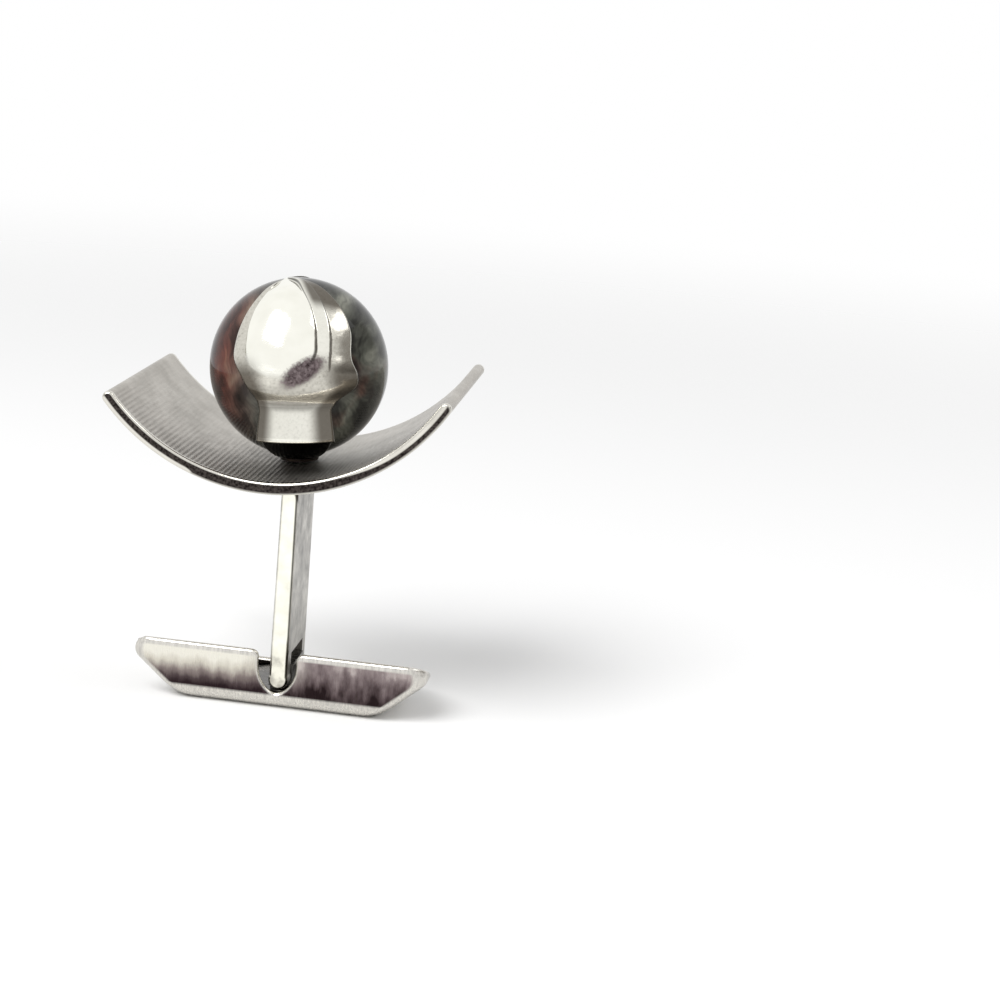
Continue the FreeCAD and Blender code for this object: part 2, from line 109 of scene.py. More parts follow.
def skin(name, rings, shares=None):
    """Closed surface over a stack of closed rings, given in metres: a four-sided face joins each point with
    the next on its ring and the same two points of the next ring. The end rings are drawn together to a
    point or a doubled line, so merging equal points closes them. shares holds, by name, a number for each
    point."""
    count, around = rings.shape[:2]
    index = np.arange(count * around).reshape(count, around)
    near, far = index[:-1], index[1:]
    faces = np.stack([near, np.roll(near, -1, 1), np.roll(far, -1, 1), far], -1).reshape(-1, 4)
    mesh = bpy.data.meshes.new(name)
    mesh.from_pydata(rings.reshape(-1, 3).tolist(), [], faces.tolist())
    for label, values in (shares or {}).items():
        layer = mesh.attributes.new(label, "FLOAT", "POINT")
        layer.data.foreach_set("value", np.ascontiguousarray(values, np.float32).ravel())
    work = bmesh.new()
    work.from_mesh(mesh)
    bmesh.ops.remove_doubles(work, verts=work.verts, dist=MERGE)
    bmesh.ops.dissolve_degenerate(work, edges=work.edges, dist=SLIVER)
    bmesh.ops.recalc_face_normals(work, faces=work.faces)
    work.to_mesh(mesh)
    work.free()
    mesh.polygons.foreach_set("use_smooth", np.ones(len(mesh.polygons), bool))
    piece = bpy.data.objects.new(name, mesh)
    scene.collection.objects.link(piece)
    return piece


def plate_rings():
    """Rings round the strip's cross-section at stations along the depth. A ring runs along the outer arc,
    round a half circle at the end, back along the inner arc and round the other end. Near the front and
    back the ring draws in by a quarter circle, and on the flat edge it draws in evenly to the middle arc.
    Ribs are a cosine of the arc length that sinks the inner arc by up to the rib depth, inside the border.
    On the flat edges a band is a painted dark reflection: it starts lower on the right, and on the left it
    stops short of the outer arc; the plate colour left beside it is a painted bright reflection."""
    middle = PLATE_INNER_RADIUS + PLATE_THICKNESS / 2
    half = PLATE_THICKNESS / 2
    length = 2 * PLATE_HALF_ANGLE * PLATE_INNER_RADIUS
    arc = np.linspace(-PLATE_HALF_ANGLE, PLATE_HALF_ANGLE, int(length / RIB_PITCH) * RIB_SAMPLES + 1)
    bend = np.linspace(0, math.pi, END_SAMPLES + 2)[1:-1]
    flat = np.zeros_like(arc)
    angle = np.concatenate([arc, np.full_like(bend, PLATE_HALF_ANGLE), arc[::-1],
                            np.full_like(bend, -PLATE_HALF_ANGLE)])
    outward = np.concatenate([flat + 1, np.cos(bend), flat - 1, -np.cos(bend)])
    endward = np.concatenate([flat, np.sin(bend), flat, -np.sin(bend)])
    inner = np.concatenate([flat, 0 * bend, flat + 1, 0 * bend])
    rubbed = np.concatenate([flat, 0 * bend + 1, flat + 1, 0 * bend + 1])
    turn = np.linspace(0, math.pi / 2, EDGE_TURN_SAMPLES)
    flat_in = np.linspace(half, PLATE_EDGE_ROUND, EDGE_SAMPLES)[:-1]
    rim_y = np.concatenate([0 * flat_in, PLATE_EDGE_ROUND * (1 - np.cos(turn))])
    rim_in = np.concatenate([flat_in, PLATE_EDGE_ROUND * (1 - np.sin(turn))])
    fade = np.linspace(RIB_BORDER, RIB_BORDER + RIB_FADE, FADE_SAMPLES)
    body = np.linspace(PLATE_FRONT + fade[-1], PLATE_BACK - fade[-1], BODY_SAMPLES)[1:-1]
    y = np.concatenate([PLATE_FRONT + rim_y, PLATE_FRONT + fade, body, PLATE_BACK - fade[::-1],
                        PLATE_BACK - rim_y[::-1]])
    inset = np.concatenate([rim_in, 0 * fade, 0 * body, 0 * fade, rim_in[::-1]])
    from_edge = np.minimum(y - PLATE_FRONT, PLATE_BACK - y)
    to_back = (y[:, None] - PLATE_FRONT) / (PLATE_BACK - PLATE_FRONT)
    rib = 0.5 - 0.5 * np.cos(2 * math.pi * angle * PLATE_INNER_RADIUS / RIB_PITCH)
    near_end = smooth_step(0, RIB_PITCH, (PLATE_HALF_ANGLE - np.abs(angle)) * PLATE_INNER_RADIUS)
    smooth = smooth_step(RIB_BORDER, RIB_BORDER + RIB_FADE, from_edge)[:, None]
    ribbed = smooth * (inner * near_end * rib)[None, :] * between(1, BACK_RIB_SHARE, to_back)
    on_edge = (from_edge == 0)[:, None]
    tight = np.where((outward > 0)[None, :] & ~on_edge, OUTER_ROUND_SHARE, 1)
    reach = half - inset[:, None] * tight
    across_edge = reach * outward / half
    # Painted dark reflection band across the flat edges, with painted bright reflection left above and below
    # it.
    top = between(DARK_TOP, DARK_TOP_RIGHT, smooth_step(*BRIGHT_RIGHT, angle))
    foot = between(DARK_FOOT, DARK_FOOT_LEFT, smooth_step(*BRIGHT_LEFT, angle))
    dark = smooth_step(top - DARK_BLUR, top + DARK_BLUR, across_edge)
    dark = dark * smooth_step(foot + DARK_BLUR, foot - DARK_BLUR, across_edge) * on_edge
    radius = middle + reach * outward + RIB_DEPTH * ribbed
    across = reach * endward
    x = radius * np.sin(angle) + across * np.cos(angle)
    z = middle + half - radius * np.cos(angle) + across * np.sin(angle)
    return np.stack([x, y[:, None] + 0 * x, z], -1), {"satin": rubbed * smooth, "painted_edge_reflection": dark}


def linear(colour):
    """sRGB hex to linear RGBA."""
    channels = [int(colour[i:i + 2], 16) / 255 for i in (1, 3, 5)]
    return [c / 12.92 if c <= 0.04045 else ((c + 0.055) / 1.055) ** 2.4 for c in channels] + [1]


def wire(tree, node, links):
    """Feeds a node's inputs, by name or number, from outputs or from the first output in use of a node."""
    for key, source in links.items():
        if isinstance(source, bpy.types.Node):
            source = next(output for output in source.outputs if output.enabled)
        tree.links.new(source, node.inputs[key])


def add_node(tree, kind, settings=None, links=None, stops=None):
    """One shader node: settings are its properties or the values of its inputs, links what feeds its
    inputs, and stops the places and hex colours of a colour ramp."""
    node = tree.nodes.new("ShaderNode" + kind)
    for key, value in (settings or {}).items():
        if isinstance(key, str) and hasattr(node, key):
            setattr(node, key, value)
        else:
            node.inputs[key].default_value = value
    wire(tree, node, links or {})
    for number, (place, colour) in enumerate(stops or []):
        elements = node.color_ramp.elements
        element = elements[number] if number < 2 else elements.new(place)
        element.position = place
        element.color = linear(colour)
    return node


def new_material(name, metal=1.0):
    """A metal or stone: its material, node tree and shader, and the place on the piece in mm."""
    material = bpy.data.materials.new(name)
    material.use_nodes = True
    tree = material.node_tree
    shader = tree.nodes["Principled BSDF"]
    shader.inputs["Metallic"].default_value = metal
    place = add_node(tree, "TexCoord")
    scaled = add_node(tree, "Mapping", {"Scale": [1 / MM] * 3}, {0: place.outputs["Object"]})
    return material, tree, shader, scaled


# Silver plate, milled then given a satin rub, with buffed edges: the ribs scatter the light in soft grey
# lines, and the rounded edges mirror what is around them. On the flat front and back edges a dark brown
# band is a painted dark reflection, and the plate colour left beside it is a painted bright reflection.
# Blotches of light tarnish on the hollow side are 2 to 4 mm wide.
material, tree, shader, place = new_material("milled_satin_silver_plate")
satin = add_node(tree, "Attribute", {"attribute_name": "satin"})
blotch = add_node(tree, "TexNoise", {"Scale": 0.35, "Detail": 4.0, "Roughness": 0.6}, {0: place})
grain_place = add_node(tree, "Mapping", {"Scale": (6, 0.7, 6)}, {0: place})
grain = add_node(tree, "TexNoise", {"Scale": 1.0, "Detail": 3.0}, {0: grain_place})
bright = add_node(tree, "ValToRGB", {}, {0: blotch}, [(0.3, "#c9c6bd"), (0.7, "#dddad2")])
dull = add_node(tree, "ValToRGB", {}, {0: blotch}, [(0.3, "#a5a19a"), (0.7, "#c3bfb8")])
mixed = add_node(tree, "Mix", COLOURS, {0: satin.outputs["Fac"], 6: bright, 7: dull})
# Painted dark reflection: dark brown on the flat edges, where the attribute says.
painted_edge_reflection = add_node(tree, "Attribute", {"attribute_name": "painted_edge_reflection"})
brown = add_node(tree, "ValToRGB", {}, {0: grain}, [(0.35, "#1a1615"), (0.7, "#4c4643")])
edged = add_node(tree, "Mix", COLOURS, {0: painted_edge_reflection.outputs["Fac"], 6: mixed, 7: brown})
rough = add_node(tree, "Math", {"operation": "MULTIPLY_ADD", 1: 0.27, 2: 0.1}, {0: satin.outputs["Fac"]})
uneven = add_node(tree, "MapRange", {1: 0.3, 2: 0.7, 3: 0.0, 4: 0.1}, {0: grain})
rougher = add_node(tree, "Math", {"operation": "ADD"}, {0: rough, 1: uneven})
bump = add_node(tree, "Bump", {"Strength": 0.25, "Distance": 0.00002}, {"Height": grain})
wire(tree, shader, {"Base Color": edged, "Roughness": rougher, "Normal": bump})
points, shares = plate_rings()
face_plate = skin("ribbed_face_plate", on_head(points), shares)
face_plate.data.materials.append(material)
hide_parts("face_plate")
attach(face_plate, "face")

# Bead: a 12 mm ball of polished banded quartz, held between the two claws. Its fibres run across the ball in
# grey and olive bands with red-brown zones, mostly on the left.
BEAD_RADIUS = 6.0
BEAD_HEIGHT = 7.24
TO_BEAD_MIDDLE = (0.5, 0, -23.17)
BEAD_ROWS = 97
BEAD_COLUMNS = 192


def bead_rings():
    """Circles of latitude of a sphere, from its lowest to its highest point."""
    latitude = np.linspace(-math.pi / 2, math.pi / 2, BEAD_ROWS)[:, None]
    longitude = np.linspace(0, 2 * math.pi, BEAD_COLUMNS, endpoint=False)[None, :]
    x = BEAD_RADIUS * np.cos(latitude) * np.cos(longitude)
    y = BEAD_RADIUS * np.cos(latitude) * np.sin(longitude)
    z = BEAD_RADIUS * np.sin(latitude) + 0 * longitude
    return np.stack([x, y, z + BEAD_HEIGHT], -1)


# Polished quartz with fibres: glossy and dark, with shade painted in where the surface turns away from the
# view towards its outline, and colour in soft bands about 1 mm wide and fibres of 0.1 mm.
material, tree, shader, place = new_material("polished_banded_quartz", 0.0)
centred = add_node(tree, "Mapping", {"Location": TO_BEAD_MIDDLE}, {0: place})
warp = add_node(tree, "TexNoise", {"Scale": 0.3, "Detail": 3.0}, {0: centred})
warped = add_node(tree, "Mix", {**COLOURS, "blend_type": "LINEAR_LIGHT", 0: 0.9},
                  {6: centred, 7: warp.outputs["Color"]})
tilted = add_node(tree, "Mapping", {"Rotation": (0.2, 0.5, 0.3), "Scale": (1.0, 0.25, 0.6)}, {0: warped})
bands = add_node(tree, "TexNoise", {"Scale": 0.55, "Detail": 4.0, "Roughness": 0.5}, {0: tilted})
fibre_place = add_node(tree, "Mapping", {"Scale": (7, 0.5, 1.0)}, {0: tilted})
fibres = add_node(tree, "TexNoise", {"Scale": 1.0, "Detail": 2.0}, {0: fibre_place})
grey = add_node(tree, "ValToRGB", {}, {0: bands},
                [(0.3, "#141413"), (0.44, "#363632"), (0.57, "#67685f"), (0.7, "#9a9a8e")])
brown = add_node(tree, "ValToRGB", {}, {0: bands},
                 [(0.3, "#140a08"), (0.44, "#3d1f19"), (0.57, "#66392f"), (0.72, "#8a6652")])
sides = add_node(tree, "SeparateXYZ", {}, {0: warped})
leftward = add_node(tree, "MapRange", {1: -1.5, 2: -4.2}, {0: sides.outputs["X"]})
patch_place = add_node(tree, "Mapping", {"Location": (3.1, 1.7, 0.4)}, {0: centred})
patches = add_node(tree, "TexNoise", {"Scale": 0.33, "Detail": 2.0}, {0: patch_place})
patchy = add_node(tree, "MapRange", {1: 0.57, 2: 0.75}, {0: patches})
zone = add_node(tree, "Math", {"operation": "MAXIMUM"}, {0: leftward, 1: patchy})
stone = add_node(tree, "Mix", COLOURS, {0: zone, 6: grey, 7: brown})
thread = add_node(tree, "ValToRGB", {}, {0: fibres}, [(0.3, "#a8a8a8"), (0.7, "#ffffff")])
threaded = add_node(tree, "Mix", {**COLOURS, "blend_type": "MULTIPLY", 0: 0.7}, {6: stone, 7: thread})
# Painted shade: the colour darkens as the surface turns away from the view, towards the ball's outline.
graze = add_node(tree, "LayerWeight", {"Blend": 0.3})
rim = add_node(tree, "ValToRGB", {}, {0: graze.outputs["Facing"]}, [(0.3, "#ffffff"), (0.9, "#5a5a5a")])
deep = add_node(tree, "Mix", {**COLOURS, "blend_type": "MULTIPLY", 0: 1.0}, {6: threaded, 7: rim})
shine = add_node(tree, "MapRange", {1: 0.3, 2: 0.7, 3: 0.06, 4: 0.11}, {0: fibres})
wire(tree, shader, {"Base Color": deep, "Roughness": shine})
shader.inputs["IOR"].default_value = 1.54
shader.inputs["Specular IOR Level"].default_value = 0.13
bead = skin("stone_bead", on_head(bead_rings()))
bead.data.materials.append(material)
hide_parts("bead")
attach(bead, "face")

# Claws: two cast and polished silver-plated buds, front and back, that clasp the ball. Each is a wide thin
# petal with a raised leaf and a second step on it, drawn to a point over the ball, a full cup below, a
# straight neck with an open foot, and a strap that bends under the ball to the seat.
CLAW_TURN = math.radians(10.0)
CLAW_SPACE = 6.02
NECK_RADIUS = 6.02
NECK_FLARE = 0.45
CREASE_DROP = 1.5
NECK_DROP = 4.0
STRAP_RADIUS = 6.28
STRAP_END_ANGLE = math.radians(-77.0)
EDGE_ROUND = 0.16
STEP_WIDTH = 0.1
SOFT_STEP = 0.5
PETAL_THICKNESS = 0.33
SECOND_THICKNESS = 0.5
LEAF_THICKNESS = 0.66
LEAF_CROWN = 0.27
TIP_SHARE = 0.12
FRONT_TIP, REAR_TIP = 90, 76
TIP_START = 30
CUP_THICKNESS = 0.8
CUP_SIDE = 0.3
CUP_HALF_WIDTH = 4.6
CREASE_SHARE = 0.3
CREASE_ANGLE = -14.5
CUP_ANGLE = -1.0
# The oval patch on the cup is a painted dark reflection: its place, tilt, size and fade.
PATCH_X, PATCH_ANGLE, PATCH_TILT = 0.45, 6.5, math.radians(34.0)
PATCH_LENGTH, PATCH_WIDTH = 2.2, 0.95
MM_PER_DEGREE = math.radians(CLAW_SPACE + CUP_THICKNESS)
# Painted black shade at the steps' feet, strong on the right and weak on the left; the dull shares give grey
# that is partly wear and partly painted darker reflection; then the shares of painted shade.
STEP_DARK, LEFT_STEP_DARK = 0.9, 0.25
NECK_DULL, SECOND_DULL = 0.45, 0.3
CREASE_PAINTED_SHADE, SIDE_PAINTED_SHADE, TOP_PAINTED_SHADE = 0.5, 0.88, 0.85
PAINTED_SHADE_LEFT, PAINTED_SHADE_RIGHT = (-0.5, -0.85), (0.3, 0.7)
TOP_PAINTED_SHADE_ANGLES = (44, 54)
STRAP_TAPER = 0.93
LEFT_EDGE = [(90, -0.85), (80, -1.25), (66, -2.35), (50, -3.35), (30, -4.0), (15, -4.1), (0, -3.5),
             (-14, -2.6)]
RIGHT_EDGE = [(90, -0.65), (80, 0.3), (68, 1.7), (53, 2.95), (38, 3.52), (15, 3.65), (3, 4.05), (-6, 3.9),
              (-14, 2.7)]
LEAF_LEFT = [(84, -0.95), (74, -1.35), (60, -2.1), (46, -2.75), (30, -3.15), (17, -3.1), (8, -2.5),
             (2, -1.2)]
LEAF_RIGHT = [(84, -0.75), (74, -0.15), (60, 0.35), (44, 0.95), (28, 1.25), (17, 1.1), (8, 0.3), (2, -1.0)]
SECOND_RIGHT = [(87, -0.6), (73, 0.35), (54, 1.5), (38, 2.05), (0, 2.1)]
LEAF_RISE, SECOND_RISE, CUP_BLEND = (84, 40), (92, 66), (4.0, 20.0)
SOFT_ANGLES, POLISH_ANGLES, SIDE_ANGLES = (26, 4), (1, 7), (20, 2)
CREASE_PAINTED_SHADE_TOP = 6
PATCH_FADE = (1.15, 0.3)
BUD_EDGE, STRAP_EDGE = 0.2, 0.3
NECK_LEFT, NECK_WIDENING, NECK_OFFSET = -2.4, 0.1, -0.15
NECK_EDGE_ROUND, FOOT_ROUND, FOOT_ROUND_START = 0.25, 0.12, 0.9
FLARE_POWER, UNDER_HOLLOW = 1.15, 0.05
# Painted black shade at the crease and its spread in rows, and the rows of painted shade below the crease.
CREASE_DARK, CREASE_ROWS, PAINTED_SHADE_ROWS = 0.3, 2.5, 5
UPPER_ROWS, MIDDLE_ROWS, LOWER_ROWS, ROW_GAP, MIDDLE_END = 90, 60, 14, 0.5, -8
NECK_ROWS, UNDER_ROWS, STRAP_ROWS, JOIN_ROWS = 24, 8, 20, 4
ACROSS, INSIDE, CROWDING = 150, 30, 1.25


def along(table, degrees):
    """A table of (angle, size) pairs read at angles: a smooth curve through its pairs, each stretch a cubic
    that has at its ends the slope of the line between the pairs on either side."""
    angles, sizes = np.array(sorted(table), float).T
    slopes = np.gradient(sizes, angles)
    low = np.clip(np.searchsorted(angles, degrees) - 1, 0, len(angles) - 2)
    gap = angles[low + 1] - angles[low]
    share = np.clip((degrees - angles[low]) / gap, 0, 1)
    rise = between(sizes[low], sizes[low + 1], smooth_step(0, 1, share))
    return rise + gap * share * (1 - share) * (slopes[low] * (1 - share) - slopes[low + 1] * share)


def side_painted_shade(across):
    """Painted shade to both sides of the bud: none in the middle, full near the edges, wider on the right.
    """
    return SIDE_PAINTED_SHADE * np.maximum(smooth_step(*PAINTED_SHADE_LEFT, across), smooth_step(*PAINTED_SHADE_RIGHT, across))


def bud_thickness(x, degrees):
    """Thickness of the bud over the ball: the greatest of the petal, the second step and the crowned leaf,
    each with an edge that rises over a narrow width, and below them a cup that is thickest in the middle.
    Also, by name, how far a point is from mirror polish, and its shares of painted black shade at a step's
    foot, of an oval patch of painted dark reflection, and of painted shade by the crease, sides and grooves."""
    left, right = along(LEAF_LEFT, degrees), along(LEAF_RIGHT, degrees)
    share = np.clip((2 * x - left - right) / np.maximum(right - left, STEP_WIDTH), -1, 1)
    up = smooth_step(*LEAF_RISE, degrees)
    crown = LEAF_THICKNESS * between(TIP_SHARE, 1, up) + LEAF_CROWN * (1 - share ** 2) * up
    width = STEP_WIDTH + SOFT_STEP * smooth_step(*SOFT_ANGLES, degrees)
    on_leaf = smooth_step(left - width, left, x) * smooth_step(right + width, right, x)
    second_edge = along(SECOND_RIGHT, degrees)
    on_second = smooth_step(second_edge + STEP_WIDTH, second_edge, x)
    on_second = on_second * smooth_step(left, left + STEP_WIDTH, x)
    second = between(PETAL_THICKNESS, SECOND_THICKNESS, on_second)
    layered = between(second * between(TIP_SHARE, 1, smooth_step(*SECOND_RISE, degrees)), crown, on_leaf)
    domed = np.sqrt(np.clip(1 - (x / CUP_HALF_WIDTH) ** 2, 0, 1))
    to_crease = between(CREASE_SHARE, 1, smooth_step(CREASE_ANGLE, CUP_ANGLE, degrees))
    cup = between(CUP_SIDE, CUP_THICKNESS, domed) * to_crease
    blend = smooth_step(*CUP_BLEND, degrees)
    # Painted black shade along the feet of the leaf's and the second step's edges.
    steps = 4 * np.maximum(on_leaf * (1 - on_leaf), on_second * (1 - on_second) * (x > right))
    steps = steps * np.where(share > 0, STEP_DARK, LEFT_STEP_DARK)
    # An oval patch of painted dark reflection on the cup.
    from_left, from_below = x - PATCH_X, (degrees - PATCH_ANGLE) * MM_PER_DEGREE
    along_patch = from_left * math.cos(PATCH_TILT) + from_below * math.sin(PATCH_TILT)
    over_patch = from_below * math.cos(PATCH_TILT) - from_left * math.sin(PATCH_TILT)
    patch = smooth_step(*PATCH_FADE, np.hypot(along_patch / PATCH_LENGTH, over_patch / PATCH_WIDTH))
    # Off the leaf the finish is dull: grey that is partly wear and partly painted darker reflection.
    polished = np.maximum(on_leaf, (1 - SECOND_DULL) * on_second * blend)
    edges = along(LEFT_EDGE, degrees), along(RIGHT_EDGE, degrees)
    across = (2 * x - edges[0] - edges[1]) / (edges[1] - edges[0])
    # Painted shade below the crease, towards the sides, and in the grooves right of the point.
    painted_shade = np.maximum(CREASE_PAINTED_SHADE * smooth_step(CREASE_PAINTED_SHADE_TOP, CREASE_ANGLE, degrees),
                       side_painted_shade(across) * smooth_step(*SIDE_ANGLES, degrees))
    grooved = smooth_step(right, right + SOFT_STEP, x) * smooth_step(*TOP_PAINTED_SHADE_ANGLES, degrees)
    painted_shade = np.maximum(painted_shade, TOP_PAINTED_SHADE * grooved)
    shares = {"dull": 1 - polished * smooth_step(*POLISH_ANGLES, degrees), "painted_black_shade": steps * blend,
              "patch": patch, "painted_shade": painted_shade}
    return between(cup, layered, blend), shares


def claw_rings(side, tip):
    """Rings round the claw's cross-section, from the point over the ball to the strap's end under it. A
    ring runs across the outer face from the left edge to the right one and back along the inner face on the
    ball. Over the bud a point is at a height angle and a distance from the ball's middle; on the neck it is
    on an upright cylinder; on the strap it is on a sphere. The thickness falls by a quarter ellipse at both
    edges."""
    crease = math.degrees(math.atan2(-CREASE_DROP, NECK_RADIUS))
    bud = np.radians(np.concatenate([np.linspace(tip, TIP_START, UPPER_ROWS),
                                     np.linspace(TIP_START - ROW_GAP, MIDDLE_END, MIDDLE_ROWS),
                                     np.linspace(MIDDLE_END - ROW_GAP, crease, LOWER_ROWS)]))
    drawn_out = (FRONT_TIP - TIP_START) / (tip - TIP_START)
    degrees = np.degrees(bud)
    degrees = np.where(degrees > TIP_START, TIP_START + (degrees - TIP_START) * drawn_out, degrees)
    neck = np.linspace(-CREASE_DROP, -NECK_DROP, NECK_ROWS)[1:]
    under = np.linspace(0, 1, UNDER_ROWS)[1:]
    strap_start = -math.asin(NECK_DROP / STRAP_RADIUS)
    strap = np.linspace(strap_start, STRAP_END_ANGLE, STRAP_ROWS)[1:]
    share = np.linspace(-1, 1, ACROSS)
    share = np.sign(share) * (1 - (1 - np.abs(share)) ** CROWDING)
    inner_neck = np.linspace(math.radians(crease), strap_start, len(neck) + len(under) + 1)[1:]
    inner = np.concatenate([bud, inner_neck, strap])
    lower_left = NECK_LEFT - NECK_WIDENING * (-neck - CREASE_DROP)
    taper = np.sqrt(1 - (STRAP_TAPER * np.linspace(0, 1, len(under) + len(strap))) ** 2)
    lower_right = NECK_OFFSET - lower_left
    edges_left = np.concatenate([along(LEFT_EDGE, degrees), lower_left, lower_left[-1] * taper])
    edges_right = np.concatenate([along(RIGHT_EDGE, degrees), lower_right, lower_right[-1] * taper])
    first = len(bud)
    join = slice(first, first + JOIN_ROWS)
    fading = (1 - np.linspace(0, 1, JOIN_ROWS + 2)[1:-1]) ** 2
    edges_left[join] += (along(LEFT_EDGE, crease) - edges_left[first]) * fading
    edges_right[join] += (along(RIGHT_EDGE, crease) - edges_right[first]) * fading
    middle = (edges_left + edges_right) / 2
    half = (edges_right - edges_left) / 2
    x = middle[:, None] + half[:, None] * share[None, :]
    distance = half[:, None] * (1 - np.abs(share))[None, :]
    edge = np.sqrt(np.clip(1 - (1 - np.clip(distance / EDGE_ROUND, 0, 1)) ** 2, 0, 1))
    rows = np.arange(len(inner))
    ends = np.cumsum([len(bud), len(neck), len(under)])
    rows_bud, rows_neck, rows_under, rows_strap = np.split(rows, ends)
    front = np.zeros_like(x)
    z = np.zeros_like(x)
    thick, looks = bud_thickness(x[rows_bud], degrees[:, None])
    thick = thick * between(BUD_EDGE, 1, edge[rows_bud])
    level = np.sqrt((CLAW_SPACE + thick) ** 2 - x[rows_bud] ** 2)
    front[rows_bud] = level * np.cos(bud)[:, None]
    z[rows_bud] = level * np.sin(bud)[:, None]
    round_in = NECK_EDGE_ROUND * (1 - edge)
    drop = (-neck - CREASE_DROP) / (NECK_DROP - CREASE_DROP)
    foot_round = FOOT_ROUND * smooth_step(FOOT_ROUND_START, 1.0, drop)
    flare = NECK_FLARE * drop ** FLARE_POWER
    front[rows_neck] = np.sqrt(NECK_RADIUS ** 2 - x[rows_neck] ** 2) - round_in[rows_neck]
    front[rows_neck] += (flare - foot_round)[:, None]
    z[rows_neck] = neck[:, None]
    outer_front = np.sqrt(NECK_RADIUS ** 2 - x[rows_under] ** 2) - round_in[rows_under]
    outer_front = outer_front + NECK_FLARE - FOOT_ROUND
    strap_front = np.sqrt(STRAP_RADIUS ** 2 - x[rows_under] ** 2) * math.cos(strap_start)
    front[rows_under] = between(outer_front, strap_front, under[:, None])
    z[rows_under] = -NECK_DROP + UNDER_HOLLOW * np.sin(math.pi * under)[:, None]
    strap_thick = (STRAP_RADIUS - CLAW_SPACE) * between(STRAP_EDGE, 1, edge[rows_strap])
    level = np.sqrt((CLAW_SPACE + strap_thick) ** 2 - x[rows_strap] ** 2)
    front[rows_strap] = level * np.cos(strap)[:, None]
    z[rows_strap] = level * np.sin(strap)[:, None]
    outer = np.stack([x, -front, z], -1)
    back_share = np.linspace(1, -1, INSIDE + 2)[1:-1]
    inner_x = middle[:, None] + half[:, None] * back_share[None, :]
    inner_level = np.sqrt(CLAW_SPACE ** 2 - inner_x ** 2)
    inner_front = inner_level * np.cos(inner)[:, None]
    inner_face = np.stack([inner_x, -inner_front, inner_level * np.sin(inner)[:, None]], -1)
    rings = np.concatenate([outer, inner_face], 1)
    # Painted black shade: a soft line at the crease and all of the strap under the foot; painted shade below
    # the crease and towards the sides.
    crease_black_shade = CREASE_DARK * np.exp(-((rows - first) / CREASE_ROWS) ** 2) + (rows >= rows_under[0])
    everywhere = np.ones(rings.shape[:2])
    below_crease = smooth_step(first + PAINTED_SHADE_ROWS, first, rows)[:, None] * CREASE_PAINTED_SHADE
    sides = np.concatenate([side_painted_shade(share), np.full(INSIDE, SIDE_PAINTED_SHADE)])
    shares = {"dull": NECK_DULL * everywhere, "patch": 0 * everywhere,
              "painted_black_shade": crease_black_shade[:, None] * everywhere, "painted_shade": np.maximum(below_crease, sides[None, :])}
    for label, values in shares.items():
        values[rows_bud, :ACROSS] = looks[label] + (label == "painted_black_shade") * values[rows_bud, :ACROSS]
        shares[label] = np.concatenate([values[:1], values, values[-1:]])
    ends = np.repeat(rings[[0, -1]].mean(1, keepdims=True), rings.shape[1], 1)
    rings = np.concatenate([ends[:1], rings, ends[1:]])
    px, py, pz = np.moveaxis(rings * [1, side, 1], -1, 0)
    turned_x = px * math.cos(CLAW_TURN) - py * math.sin(CLAW_TURN)
    turned_y = px * math.sin(CLAW_TURN) + py * math.cos(CLAW_TURN)
    return np.stack([turned_x, turned_y, pz + BEAD_HEIGHT], -1), shares


# Silver plate, buffed to a mirror on the leaf and worn by handling round it: grey mottles about 0.2 mm wide
# off the leaf, partly wear and partly a painted stand-in for darker reflections, and fine wipe marks 0.1 mm
# wide. A soft brown patch on the cup is a painted dark reflection; near-black painted shade lies in the
# creases, along the steps and under the foot, and dark painted shade along the bud's sides, below the crease
# and in the grooves by the point.
material, tree, shader, place = new_material("polished_silver_plate")
wave = add_node(tree, "TexNoise", {"Scale": 0.8, "Detail": 2.0}, {0: place})
speck = add_node(tree, "TexNoise", {"Scale": 5.0, "Detail": 3.0, "Roughness": 0.6}, {0: place})
wipe_place = add_node(tree, "Mapping", {"Rotation": (0.4, 0.3, 0.7), "Scale": (1.0, 9.0, 9.0)}, {0: place})
wipe = add_node(tree, "TexNoise", {"Scale": 1.0, "Detail": 3.0}, {0: wipe_place})
# Off the leaf the mottled grey is partly wear and partly a painted stand-in for darker reflections.
clean = add_node(tree, "ValToRGB", {}, {0: wave}, [(0.3, "#f4f3e9"), (0.7, "#fbfaf1")])
mottled = add_node(tree, "ValToRGB", {}, {0: speck},
                   [(0.28, "#b0ada4"), (0.45, "#cbc8be"), (0.68, "#d8d5cb")])
dull = add_node(tree, "Attribute", {"attribute_name": "dull"})
tarnish = add_node(tree, "Mix", COLOURS, {0: dull.outputs["Fac"], 6: clean, 7: mottled})
# Painted dark reflection: a soft brown patch on the cup, ragged at its edge.
patch = add_node(tree, "Attribute", {"attribute_name": "patch"})
brown = add_node(tree, "ValToRGB", {}, {0: speck}, [(0.32, "#3a2e30"), (0.66, "#85797a")])
rough_edge = add_node(tree, "Math", {"operation": "ADD"}, {0: speck, 1: patch.outputs["Fac"]})
ragged = add_node(tree, "MapRange", {1: 0.75, 2: 1.25}, {0: rough_edge})
patch_painted = add_node(tree, "Mix", COLOURS, {0: ragged, 6: tarnish, 7: brown})
